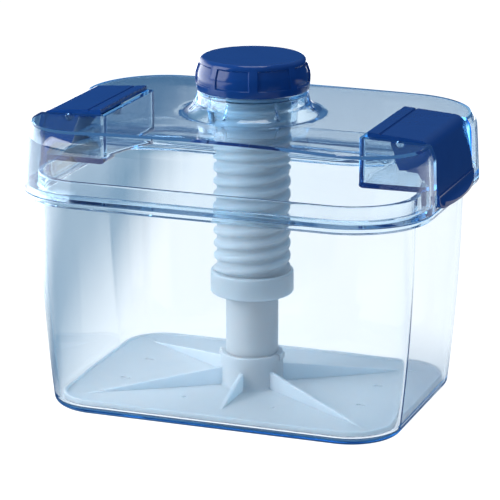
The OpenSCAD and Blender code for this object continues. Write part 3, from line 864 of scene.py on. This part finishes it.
# %% Latch pockets
latch_half = 28.5
pivot_x = rim_x - 18.4
pivot_z = seat_z + 27.9
LATCH_ARM = 15.3
latch_in_x = pivot_x - LATCH_ARM
latch_in_z = lid_top + 1.2
swing = math.hypot(LATCH_ARM, latch_in_z - pivot_z)
pocket_x = pivot_x - swing - 0.3
pocket_z = lip_top + 0.5 + 2.2
pocket_half = latch_half + 0.5
POCKET_WALL = 2.2
beyond = rim_x + 4


def pocket_block(name, x, z, step_x, half, round_in, top):
    """A stepped block at one end, with its upright inner edges rounded."""
    block = slab(name, rounded([
        (x, z, round_in),
        (step_x, z, 0.4),
        (step_x, seat_z - 2, 0),
        (beyond, seat_z - 2, 0),
        (beyond, top, 0),
        (x, top, 0),
    ]), half)
    bpy.ops.object.mode_set(mode="EDIT")
    pick("EDGE", lambda at, part: abs(at.x - x) < 0.1 and abs(abs(at.y) - half) < 0.1)
    bpy.ops.mesh.bevel(offset=round_in * MM, segments=5, affect="EDGES")
    tidy()
    take(block)
    return block


for side, turn in (("right", 0), ("left", math.pi)):
    kept = pocket_block("kept", pocket_x - POCKET_WALL, pocket_z - POCKET_WALL,
                        end_wall_in, pocket_half + POCKET_WALL, 2.4, lid_top + 2)
    cut = pocket_block("cut", pocket_x, pocket_z, end_wall_out, pocket_half, 1.0,
                       lid_top + 2)
    for block, target in ((kept, hollow), (cut, lid)):
        if turn:
            turned = copy_turned(block, "turned", turn)
            bpy.data.objects.remove(block)
            block = turned
        combine(target, block, "DIFFERENCE")
combine(lid, hollow, "DIFFERENCE")
print("lid with pockets:", len(lid.data.polygons), "faces")

# %% [markdown]
# The neck is round, so it is spun from one outline: the swell on the lid, the ring under
# the knob, its flat top and the nut that hangs inside. Seven small fins stiffen it.

# %% Neck and nut
NECK_R, NECK_TAPER, NECK_WALL = 27, 0.8, 2.2
SWELL_R, SWELL_HEIGHT = 35.6, 5
neck_top = lid_top + 10.7
nut_bore = 18.48
nut_r = nut_bore + 2.8
nut_foot = lid_top - 7.1
FINS, FIN_PHASE, FIN_REACH, FIN_WIDTH = 7, 5.5, 4, 1.4


def swell(r):
    """Height of the round swell above the lid's top."""
    part = min((SWELL_R - r) / (SWELL_R - NECK_R), 1)
    return SWELL_HEIGHT * (1 - math.cos(math.pi / 2 * part))


neck_in = NECK_R - NECK_WALL
hole = spun("hole", [(0, lid_top - 6), (33, lid_top - 6), (33, lid_top + 3),
                     (0, lid_top + 3)])
combine(lid, hole, "DIFFERENCE")
steps = 10
outline = (
    [(nut_bore, nut_foot + 0.5)] + arc((nut_bore + 0.5, nut_foot + 0.5), 0.5, 180, 270, 3)
    + arc((nut_r - 0.5, nut_foot + 0.5), 0.5, -90, 0, 3)
    + arc((nut_r + 0.6, neck_top - NECK_WALL - 0.6), 0.6, 180, 90, 3)
    + arc((neck_in - NECK_TAPER - 0.8, neck_top - NECK_WALL - 0.8), 0.8, 90, 0, 3)
    + [(neck_in, lid_top + SWELL_HEIGHT - NECK_WALL)]
    + [(neck_in + (33.4 - neck_in) * i / steps,
        lid_top - LID_WALL + (SWELL_HEIGHT - NECK_WALL + LID_WALL)
        * (1 - math.sin(math.pi / 2 * i / steps))) for i in range(1, steps + 1)]
    + [(34, lid_top - 1.8), (SWELL_R + 0.6, lid_top - 1.8), (SWELL_R + 0.6, lid_top - 0.35)]
    + [(r, lid_top + swell(r)) for r in
       [SWELL_R + (NECK_R - SWELL_R) * i / steps for i in range(1, steps)]]
    + arc((NECK_R + 0.9, lid_top + SWELL_HEIGHT + 0.6), 0.8, 240, 180, 3)
    + arc((NECK_R - NECK_TAPER - 0.8, neck_top - 0.8), 0.8, 0, 90, 5)
    + arc((nut_bore + 0.4, neck_top - 0.4), 0.4, 90, 180, 3)
    + [(nut_bore, nut_foot + 0.5)]
)
neck = spun("neck_shell", outline, 144)
combine(lid, neck, "UNION")

# %% [markdown]
# A fin is a thin slab whose slope and foot stand a little inside the neck and the swell.
# It is drawn once, its long edges are rounded, and its copies stand round the axis.

# %% Fins round the neck
fin_foot = NECK_R + FIN_REACH
fin = slab("fin", rounded([
    (NECK_R - NECK_TAPER - 0.6, lid_top - 0.5, 0),
    (fin_foot, lid_top - 0.5, 0),
    (fin_foot, lid_top + swell(fin_foot), 0.4),
    (NECK_R - NECK_TAPER - 0.6, lid_top + SWELL_HEIGHT + FIN_REACH + 0.9, 0),
]), FIN_WIDTH / 2)
bpy.ops.object.mode_set(mode="EDIT")
pick("EDGE", lambda at, part: abs(abs(at.y) - FIN_WIDTH / 2) < 0.01
     and at.x > NECK_R and at.z > lid_top)
bpy.ops.mesh.bevel(offset=0.3 * MM, segments=2, affect="EDGES")
take(fin)
for i in range(FINS):
    turned = copy_turned(fin, f"fin_{i}", math.radians(FIN_PHASE + 360 * i / FINS))
    combine(lid, turned, "UNION")
bpy.data.objects.remove(fin)

# %% [markdown]
# Four short studs in the pocket's side walls are the pivots of the latches.

# %% Pivot studs
STUD_R, STUD_LENGTH = 2.2, 3.3
stud_in = pocket_half - 3
for x in (pivot_x, -pivot_x):
    for side in (-1, 1):
        stud = rod(40, STUD_R, STUD_LENGTH,
                   (x, side * (stud_in + STUD_LENGTH / 2), pivot_z), (math.pi / 2, 0, 0))
        bpy.ops.object.mode_set(mode="EDIT")
        pick("EDGE", lambda at, part: abs(abs(at.y) - stud_in) < 0.05)
        bpy.ops.mesh.bevel(offset=0.4 * MM, segments=3, affect="EDGES")
        take(stud)
        combine(lid, stud, "UNION")

# %% [markdown]
# The line where the arched top meets the shoulder shows clearly on the real lid. Its faces
# meet at a small angle, and smooth shading would hide it. So its edges are picked by the
# lean of their faces and marked sharp.

# %% Finish the lid
def on_crease(at, part):
    """True for the edges where the lid's top meets its shoulder."""
    lean = sorted(abs(face.normal.z) for face in part.link_faces)
    outer = abs(at.x) > rim_x - 12 or abs(at.y) > rim_y - 14
    return outer and at.z > lid_top - 6 and 0.75 < lean[0] < 0.95 and lean[1] > 0.98


soften(lid, 0.3, crease=on_crease)
dress(lid, "base", lid_plastic, "clear_plastic", "lid", "neck")

# %% [markdown]
# ## The knob
# The knob is a cap with eight shallow grip panels. The cap is spun. The panels are the
# side's own faces: they are inset, and the inset part is pushed in.

# %% Shape the knob
knob_low, knob_high = size_of("knob")
knob_foot, knob_top = knob_low.z, knob_high.z
KNOB_R, TOP_R, TOP_ROUND = 27.2, 22.8, 2.6
PANELS, PANEL_DEPTH, PANEL_PHASE = 8, 0.8, -73.8
STEPS_PER_PANEL, LAND_STEPS = 21, 4
knob_steps = PANELS * STEPS_PER_PANEL
panel_low, panel_high = knob_foot + 3.4, knob_top - 2.4
outline = (
    [(0, knob_top)]
    + [(TOP_R * i / 3, knob_top) for i in (1, 2)]
    + arc((TOP_R, knob_top - TOP_ROUND), TOP_ROUND, 90, 22, 7)
    + [(25.4, panel_high), (26.0, knob_top - 3.8), (26.6, knob_top - 5.6),
       (27.0, knob_foot + 8.6),
       (KNOB_R, knob_foot + 6.8), (27.15, knob_foot + 4.6), (27.05, panel_low)]
    + arc((26.1, knob_foot + 0.8), 0.8, 0, -90, 4)
    + arc((25.4, knob_foot + 0.4), 0.4, 270, 180, 3)
    + [(24.4, knob_top - 5.2)]
    + arc((22.4, knob_top - 3.7), 1.5, 20, 90, 4)
    + [(0, knob_top - 2.2)]
)
knob = spun("knob_cap", outline, knob_steps)

# %% [markdown]
# A panel takes most of an eighth of the side, and a narrow land is left between two. The
# turn afterwards puts the panels where the photo shows them.

# %% Grip panels
def in_panel(at):
    """True for the side's faces between two lands."""
    turn = math.degrees(math.atan2(at.y, at.x)) % (360 / PANELS)
    return turn > 360 / PANELS * LAND_STEPS / STEPS_PER_PANEL


take(knob)
bpy.ops.object.mode_set(mode="EDIT")
found = pick("FACE", lambda at, part: panel_low - 0.1 < at.z < panel_high
             and math.hypot(at.x, at.y) > 25.0 and in_panel(at))
bpy.ops.mesh.inset(thickness=0.45 * MM, depth=-PANEL_DEPTH * MM, use_boundary=True)
print("panel faces:", found)
bpy.ops.mesh.select_all(action="SELECT")
bpy.ops.transform.rotate(value=-math.radians(PANEL_PHASE), orient_axis="Z",
                         center_override=(0, 0, 0))
take(knob)

# %% [markdown]
# Inside the cap a six-sided socket grips the head of the screw.

# %% Socket in the knob
shoulder_z = knob_foot + 1.5
HEAD_R, HEAD_HEIGHT, HEAD_TURN = 11.5, 9.6, (0, 0, math.radians(30))
socket_r = HEAD_R + 0.08
boss = spun("boss", rounded([
    (0, shoulder_z, 0), (socket_r + 2.2, shoulder_z, 0.4),
    (socket_r + 2.2, knob_top - 1.1, 0), (0, knob_top - 1.1, 0),
]))
socket = rod(6, socket_r, HEAD_HEIGHT + 1.3,
             (0, 0, shoulder_z + (HEAD_HEIGHT - 0.7) / 2), HEAD_TURN)
combine(boss, socket, "DIFFERENCE")
combine(knob, boss, "UNION")
soften(knob, 0.22, 2, 25)
dress(knob, "screw", blue_plastic, "blue_plastic", "knob")

# %% [markdown]
# ## The screw
# The screw is a hollow tube with a two-start rounded thread: two ridges wind side by side,
# so one turn lifts it by two ridges. One lead of the thread is drawn as a wavy line. The
# Screw modifier winds it up the tube, each turn joining the last. The ends are cut flat.

# %% Thread
collar_low, collar_high = size_of("screw_collar")
collar_top = collar_high.z
LEAD = 12.4
CREST_R, ROOT_R, BORE_R, CREST_BLUNT = 18.4, 16.8, 14.2, 1.8
thread_turns = math.ceil((shoulder_z - collar_top) / LEAD) + 2
LINE_STEPS = 32


def thread_at(part):
    """Radius of the thread at a part of its lead: two crests, rounder than a sine."""
    wave = math.cos(4 * math.pi * part)
    return ((CREST_R + ROOT_R) / 2
            + (CREST_R - ROOT_R) / 2 * math.tanh(CREST_BLUNT * wave)
            / math.tanh(CREST_BLUNT))


screw = draw("screw_thread", [
    (thread_at(i / LINE_STEPS), 0, collar_top - 1.5 * LEAD + LEAD * i / LINE_STEPS)
    for i in range(LINE_STEPS + 1)])
take(screw)
step = screw.modifiers.new("wind", "SCREW")
step.axis = "Z"
step.angle = math.tau
step.screw_offset = LEAD * MM
step.iterations = thread_turns
step.steps = step.render_steps = 80
bpy.ops.object.modifier_apply(modifier=step.name)
bpy.ops.object.mode_set(mode="EDIT")
tidy()
for z, upper in ((collar_top + 0.02, False), (shoulder_z, True)):
    bpy.ops.mesh.select_all(action="SELECT")
    bpy.ops.mesh.bisect(plane_co=(0, 0, z * MM), plane_no=(0, 0, 1), use_fill=True,
                        clear_inner=not upper, clear_outer=upper)
tidy()
take(screw)
print("screw:", thread_turns, "leads of", LEAD, "mm drawn, then cut at both ends")

# %% [markdown]
# Below the thread a plain spigot carries the collar. Above it the six-sided head enters
# the knob. The bore is open below and ends under the head.

# %% Spigot, head and bore
spigot_foot = collar_low.z + 2.4
spigot = spun("spigot", rounded([
    (0, spigot_foot, 0), (ROOT_R, spigot_foot, 0.3),
    (ROOT_R, collar_top + 1, 0), (0, collar_top + 1, 0)]))
combine(screw, spigot, "UNION")
bore = spun("bore", [(0, spigot_foot - 5), (BORE_R, spigot_foot - 5),
                     (BORE_R, shoulder_z - 2.4), (0, shoulder_z - 2.4)])
combine(screw, bore, "DIFFERENCE")
head = rod(6, HEAD_R, HEAD_HEIGHT + 1,
           (0, 0, shoulder_z + (HEAD_HEIGHT - 1) / 2), HEAD_TURN)
combine(screw, head, "UNION")
soften(screw, 0, angle=50)
dress(screw, "screw", milky_plastic, "white_plastic", "screw_tube")

# %% [markdown]
# ## The collar
# The collar closes the foot of the screw. Its inward lip keeps the post's flange in.

# %% Shape the collar
POST_R = 12.6
collar_r = 19.9
collar = spun("collar", rounded([
    (POST_R + 0.08, collar_low.z, 0.3),
    (collar_r, collar_low.z, 1.2),
    (collar_r, collar_top, 0.9),
    (ROOT_R + 0.02, collar_top, 0),
    (ROOT_R + 0.02, spigot_foot, 0),
    (POST_R + 0.08, spigot_foot, 0.3),
]))
soften(collar, 0)
dress(collar, "screw", milky_plastic, "white_plastic", "screw_collar")

# %% [markdown]
# ## The post
# The post slides in the screw. Its flange stops it at the collar and carries the spring.
# Two small tabs snap it into the hub of the plate.

# %% Shape the post
post_low, post_high = size_of("press_post")
FLANGE_R, FLANGE = BORE_R - 0.3, 3
POST_WALL = 2.2
post = spun("post", rounded([
    (0, post_low.z, 0),
    (POST_R, post_low.z, 0.5),
    (POST_R, post_high.z - FLANGE, 0.3),
    (FLANGE_R, post_high.z - FLANGE, 0.4),
    (FLANGE_R, post_high.z, 0.4),
    (POST_R - POST_WALL, post_high.z, 0.4),
    (POST_R - POST_WALL, post_low.z + POST_WALL, 1.2),
    (0, post_low.z + POST_WALL, 0),
]))

# %% [markdown]
# The tabs reach out over the hub, so they give the post its greatest width.

# %% Snap tabs
plate_low, plate_high = size_of("press_plate")
hub_top = plate_high.z
tab_half = post_high.x
print("width over the tabs in mm:", round(2 * tab_half, 2))
for side in (-1, 1):
    tab = slab("tab", rounded([
        (side * (POST_R - 1), hub_top - 3, 0), (side * tab_half, hub_top - 3, 0.3),
        (side * tab_half, hub_top, 0.3), (side * (POST_R - 1), hub_top, 0)]), 2.5)
    combine(post, tab, "UNION")
soften(post, 0)
dress(post, "foot", milky_plastic, "white_plastic", "press_post")

# %% [markdown]
# ## The press plate
# The plate nearly fills the tub. Its edge is turned up, six ribs brace the hub, and slots
# and small holes let the brine through.

# %% Shape the plate
plate_foot = plate_low.z
plate_top = plate_foot + 2
edge_top = plate_top + 1
plate_corner = plate_high.x - corner_x
EDGE_WALL = 1.6
plate = swept("plate", [
    (0, plate_foot),
    *arc((plate_corner - 0.6, plate_foot + 0.6), 0.6, -90, 0, 4),
    *arc((plate_corner - 0.4, edge_top - 0.4), 0.4, 0, 90, 3),
    *arc((plate_corner - EDGE_WALL + 0.4, edge_top - 0.4), 0.4, 90, 180, 3),
    *arc((plate_corner - EDGE_WALL - 0.4, plate_top + 0.4), 0.4, 0, -90, 3),
    (0, plate_top),
])
hub_r = POST_R + 0.08 + 2.3
hub = spun("hub", [(0, plate_top - 1), (hub_r + 2, plate_top - 1)]
           + arc((hub_r + 1.5, plate_top + 1.5), 1.5, 270, 180, 5)
           + arc((hub_r - 0.5, hub_top - 0.5), 0.5, 0, 90, 4) + [(0, hub_top)])
combine(plate, hub, "UNION")

# %% [markdown]
# Each rib is a thin slab, high at the hub and flat at its far end. Four run to the corners
# and two to the long sides.

# %% Ribs
rib_x, rib_y = plate_high.x - 13, plate_high.y - 13
RIB_HEIGHT, RIB_WIDTH = 9, 2
for x, y in ((rib_x, rib_y), (rib_x, -rib_y), (-rib_x, rib_y), (-rib_x, -rib_y),
             (0, rib_y), (0, -rib_y)):
    length = math.hypot(x, y)
    rib = slab("rib", [
        (POST_R + 1.2, plate_top - 0.5), (length, plate_top - 0.5),
        (length, plate_top + 0.01), (POST_R + 1.2, plate_top + RIB_HEIGHT),
        (POST_R + 1.2, plate_top - 0.5)], RIB_WIDTH / 2)
    bpy.ops.object.mode_set(mode="EDIT")
    pick("EDGE", lambda at, part: abs(abs(at.y) - RIB_WIDTH / 2) < 0.01
         and at.z > plate_top + 0.5 and POST_R + 2 < at.x < length - 2)
    bpy.ops.mesh.bevel(offset=0.45 * MM, segments=3, affect="EDGES")
    turned = copy_turned(rib, "rib_turned", math.atan2(y, x))
    bpy.data.objects.remove(rib)
    combine(plate, turned, "UNION")

# %% [markdown]
# The post enters the hub's bore, and its tabs lie in a gap that is cut across the hub.

# %% Bore and gap for the tabs
GAP_REACH, GAP_DROP, GAP_HALF = 20, 3.08, 2.58
bore = spun("bore", [(0, post_low.z), (POST_R + 0.08, post_low.z),
                     (POST_R + 0.08, hub_top + 3), (0, hub_top + 3)])
combine(plate, bore, "DIFFERENCE")
gap = slab("gap", rounded([
    (-GAP_REACH, hub_top - GAP_DROP, 0), (GAP_REACH, hub_top - GAP_DROP, 0),
    (GAP_REACH, hub_top + 3, 0), (-GAP_REACH, hub_top + 3, 0)]), GAP_HALF)
combine(plate, gap, "DIFFERENCE")

# %% [markdown]
# The brine runs through four slots and four small holes. Each is cut by a round drill, and
# the drill of a slot is drawn out to its length.

# %% Slots and holes
SLOT_LENGTH, SLOT_WIDTH, SLOT_INSET, SLOT_Y = 5.2, 1.8, 22, 15
HOLE_R, HOLE_X, HOLE_Y, DRILL = 1.1, 22.5, 33, 8
quarters = [(sx, sy) for sx in (-1, 1) for sy in (-1, 1)]
places = [(sx * (plate_high.x - SLOT_INSET), sy * SLOT_Y, SLOT_LENGTH - SLOT_WIDTH,
           SLOT_WIDTH / 2) for sx, sy in quarters]
places += [(sx * HOLE_X, sy * HOLE_Y, 0, HOLE_R) for sx, sy in quarters]
for x, y, stretch, radius in places:
    drill = rod(32, radius, DRILL, (x, y, plate_foot))
    bpy.ops.object.mode_set(mode="EDIT")
    for side in (-1, 1):
        pick("VERT", lambda at, part: (at.x - x) * side > 0.01)
        bpy.ops.transform.translate(value=(side * stretch / 2 * MM, 0, 0))
    take(drill)
    combine(plate, drill, "DIFFERENCE")
soften(plate, 0, angle=40)
dress(plate, "foot", milky_plastic, "white_plastic", "press_plate")

# %% [markdown]
# ## The spring and its seat
# The spring is round steel wire, wound close at its two ends. Each part is a small circle
# wound by the Screw modifier, and the parts are merged ring to ring.

# %% Wind the spring
seat_high = size_of("spring_seat")[1]
WIRE, SPRING_TURNS, END_PITCH = 1.6, 13, 2.2
spring_r = (FLANGE_R + POST_R - POST_WALL) / 2
seat_foot = seat_high.z - 2
coil_low = post_high.z + WIRE / 2
coil_high = seat_foot - WIRE / 2
mid_pitch = (coil_high - coil_low - 2 * END_PITCH) / (SPRING_TURNS - 2)
print("spring pitch in mm:", round(mid_pitch, 2))
coils = []
for z, turns, pitch in (
    (coil_low, 1, END_PITCH),
    (coil_low + END_PITCH, SPRING_TURNS - 2, mid_pitch),
    (coil_high - END_PITCH, 1, END_PITCH),
):
    take()
    bpy.ops.mesh.primitive_circle_add(
        vertices=12, radius=WIRE / 2 * MM, location=(spring_r * MM, 0, z * MM),
        rotation=(math.pi / 2, 0, 0))
    coil = bpy.context.object
    bpy.ops.object.transform_apply(location=True, rotation=True, scale=True)
    step = coil.modifiers.new("wind", "SCREW")
    step.axis = "Z"
    step.angle = math.tau
    step.screw_offset = pitch * MM
    step.iterations = turns
    step.steps = step.render_steps = 40
    bpy.ops.object.modifier_apply(modifier=step.name)
    coils.append(coil)
take(*coils)
bpy.ops.object.join()
spring = bpy.context.object
spring.name = "coil_spring"
bpy.ops.object.mode_set(mode="EDIT")
tidy()
bpy.ops.mesh.fill_holes(sides=0)
tidy()
take(spring)
soften(spring, 0, angle=50, flat_faces=False)
dress(spring, "carrier", spring_steel, "spring_steel", "spring")
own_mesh(spring)

# %% [markdown]
# The seat is a thrust disc. A short guide below it keeps the spring in the middle.

# %% Shape the seat
guide = (spring_r - WIRE / 2) * math.cos(math.pi / 8) - 0.3
seat = spun("seat_washer", rounded([
    (guide - 2 * WIRE, seat_foot - WIRE, 0.3), (guide, seat_foot - WIRE, 0.4),
    (guide, seat_foot, 0), (FLANGE_R, seat_foot, 0.3), (FLANGE_R, seat_high.z, 0.3),
    (guide - 2 * WIRE, seat_high.z, 0.3)]))
soften(seat, 0)
dress(seat, "carrier", milky_plastic, "white_plastic", "spring_seat")

# %% [markdown]
# ## The latches
# A latch is a thick blue shell that lies flush in the lid, bends over its end and runs
# down the face to a finger lip. Two cheeks carry it on the studs, and a barb snaps under
# the catch. Its side view is drawn once and extruded across its width.

# %% Side view of the latch
LATCH_WALL, BEND, TOP_DROP = 2.2, 6, 1.8
face_x = rim_x + 1
bend_x = face_x - BEND - 4.4
bend_z = latch_in_z - TOP_DROP
top_tilt = math.degrees(math.atan2(TOP_DROP, bend_x - latch_in_x))
face_foot = seat_z + 0.3
FACE_LEAN, BULGE, FACE_STEPS = 8, 2.4, 16
bend_mid = (bend_x, bend_z - BEND)
face_top = Vector(arc(bend_mid, BEND, FACE_LEAN, FACE_LEAN, 1)[0])
chord = Vector((face_x, face_foot)) - face_top
out_way = Vector((-chord.y, chord.x)).normalized()
outer = [(latch_in_x, latch_in_z)] + arc(bend_mid, BEND, 90 - top_tilt, FACE_LEAN, 12)
for i in range(1, FACE_STEPS + 1):
    part = i / FACE_STEPS
    outer.append(tuple(face_top + chord * part + out_way * BULGE * part * (1 - part)))


def drawn_in(points, depth):
    """The same points moved in by a depth."""
    moved = []
    for i, point in enumerate(points):
        a = Vector(points[max(i - 1, 0)])
        b = Vector(points[min(i + 1, len(points) - 1)])
        along = (b - a).normalized()
        moved.append((point[0] + depth * along.y, point[1] - depth * along.x))
    return moved


latch = slab("latch_right_shell",
             outer + drawn_in(outer, LATCH_WALL)[::-1] + outer[:1], latch_half)

# %% [markdown]
# The face ends in a lip for the finger. It flares out in an arc and is bowed in plan, so
# it is cut by a very large cylinder.

# %% Finger lip
LIP_REACH, LIP_EDGE, LIP_FLARE = 3.2, 1.0, 6
setback = LIP_FLARE - LIP_REACH
drop = math.sqrt(LIP_FLARE ** 2 - setback ** 2)
flare_mid = (face_x + LIP_FLARE, face_foot + LIP_EDGE + drop)
start_turn = 180 + math.degrees(math.atan2(drop, setback))
lip = slab("lip", [
    (face_x - LATCH_WALL / 2, flare_mid[1]), (face_x - LATCH_WALL / 2, face_foot),
    (face_x + LIP_REACH, face_foot)]
    + arc(flare_mid, LIP_FLARE, start_turn, 180, 10)
    + [(face_x - LATCH_WALL / 2, flare_mid[1])], latch_half)
lip_plan = (latch_half ** 2 + LIP_REACH ** 2) / (2 * LIP_REACH)
bow = rod(720, lip_plan, 40, (face_x + LIP_REACH - lip_plan, 0, face_foot))
combine(lip, bow, "INTERSECT")
combine(latch, lip, "UNION")
print("the lip's bow has a radius of", round(lip_plan), "mm")

# %% [markdown]
# The two lower corners are round when the latch is looked at from its end. So it is cut to
# that view by a block that has its corners rounded.

# %% Lower corners
LATCH_CORNER, FRONT_X, FRONT_HALF = 4, 110, 60
front = slab("front", rounded([
    (-latch_half, face_foot, LATCH_CORNER), (latch_half, face_foot, LATCH_CORNER),
    (latch_half, latch_in_z + 3, 0), (-latch_half, latch_in_z + 3, 0)], 8), FRONT_HALF)
bpy.ops.object.mode_set(mode="EDIT")
bpy.ops.mesh.select_all(action="SELECT")
bpy.ops.transform.rotate(value=math.pi / 2, orient_axis="Z", center_override=(0, 0, 0))
bpy.ops.transform.translate(value=(FRONT_X * MM, 0, 0))
take(front)
combine(latch, front, "INTERSECT")

# %% [markdown]
# A fine groove runs across the top, close to the edge that lies in the lid.

# %% Groove across the top
GROOVE_AT, GROOVE_WIDTH = 5.4, 1.2
groove_x = latch_in_x + GROOVE_AT
groove_z = latch_in_z - GROOVE_AT * math.tan(math.radians(top_tilt)) - LATCH_WALL / 4
groove = slab("groove", rounded([
    (groove_x, groove_z, 0.3), (groove_x + GROOVE_WIDTH, groove_z, 0.3),
    (groove_x + GROOVE_WIDTH, latch_in_z + 3, 0), (groove_x, latch_in_z + 3, 0)]),
    latch_half + 3)
combine(latch, groove, "DIFFERENCE")

# %% [markdown]
# Under the shell stand two cheeks. Each has a round boss with a hole for the stud, and a
# web that follows the shell's inside. The web meets the boss along a tangent.

# %% Cheeks
BOSS_R, WEB_DROP, WEB_REACH = 4.2, 10.9, 8.4
cheek_out = latch_half - 0.5
cheek_in = end_wall_out + 0.5
inner = drawn_in(outer, LATCH_WALL / 2)
web = ([(pivot_x - BOSS_R, pivot_z), (pivot_x - BOSS_R, latch_in_z - LATCH_WALL)]
       + inner[1:-2]
       + [(inner[-3][0], face_foot + LATCH_CORNER / 2),
          (cheek_in, face_foot + LATCH_CORNER / 2), (cheek_in, pocket_z + 0.3),
          (pivot_x + WEB_REACH, pivot_z - WEB_DROP), (pivot_x, pivot_z - WEB_DROP)]
       + arc((pivot_x, pivot_z), BOSS_R, 202.5, 180, 3))
for side in (-1, 1):
    cheek = slab("cheek", web, LATCH_WALL / 2)
    for name, radius, operation in (("boss", BOSS_R, "UNION"),
                                    ("pin_hole", STUD_R + 0.05, "DIFFERENCE")):
        depth = LATCH_WALL + (4 if operation == "DIFFERENCE" else 0)
        drum = rod(48, radius, depth, (pivot_x, 0, pivot_z), (math.pi / 2, 0, 0))
        combine(cheek, drum, operation)
    bpy.ops.object.mode_set(mode="EDIT")
    bpy.ops.mesh.select_all(action="SELECT")
    bpy.ops.transform.translate(
        value=(0, side * (cheek_out - LATCH_WALL / 2) * MM, 0))
    take(cheek)
    combine(latch, cheek, "UNION")

# %% [markdown]
# The barb is a bar across the foot of the latch. Its top is round about the pivot, so it
# swings free of the catch without rubbing.

# %% Barb
BARB_STEPS = 6
barb_reach = math.hypot(catch_tip - pivot_x, catch_top - 1.5 - pivot_z) + 0.3
barb_in = catch_out + 0.3
barb_out = face_x - LATCH_WALL / 2


def barb_top(x):
    """Height where the barb's top, round about the pivot, meets a distance X."""
    return pivot_z - math.sqrt(barb_reach ** 2 - (x - pivot_x) ** 2)


print("barb tops:", round(barb_top(barb_in), 2), round(barb_top(barb_out), 2))
across = [barb_in + (barb_out - barb_in) * i / BARB_STEPS for i in range(BARB_STEPS + 1)]
barb = slab("barb", [(barb_in, face_foot)]
            + [(x, min(barb_top(x), catch_top - 1.5)) for x in across]
            + [(barb_out, face_foot), (barb_in, face_foot)], catch_half)
combine(latch, barb, "UNION")

# %% [markdown]
# The left latch is the same moulding, turned half round.

# %% Finish the latches
soften(latch, 0.35, 3, 40)
left_latch = copy_turned(latch, "latch_left_shell", math.pi)
dress(latch, "latch_right", blue_plastic, "blue_plastic", "latch_right")
dress(left_latch, "latch_left", blue_plastic, "blue_plastic", "latch_left")
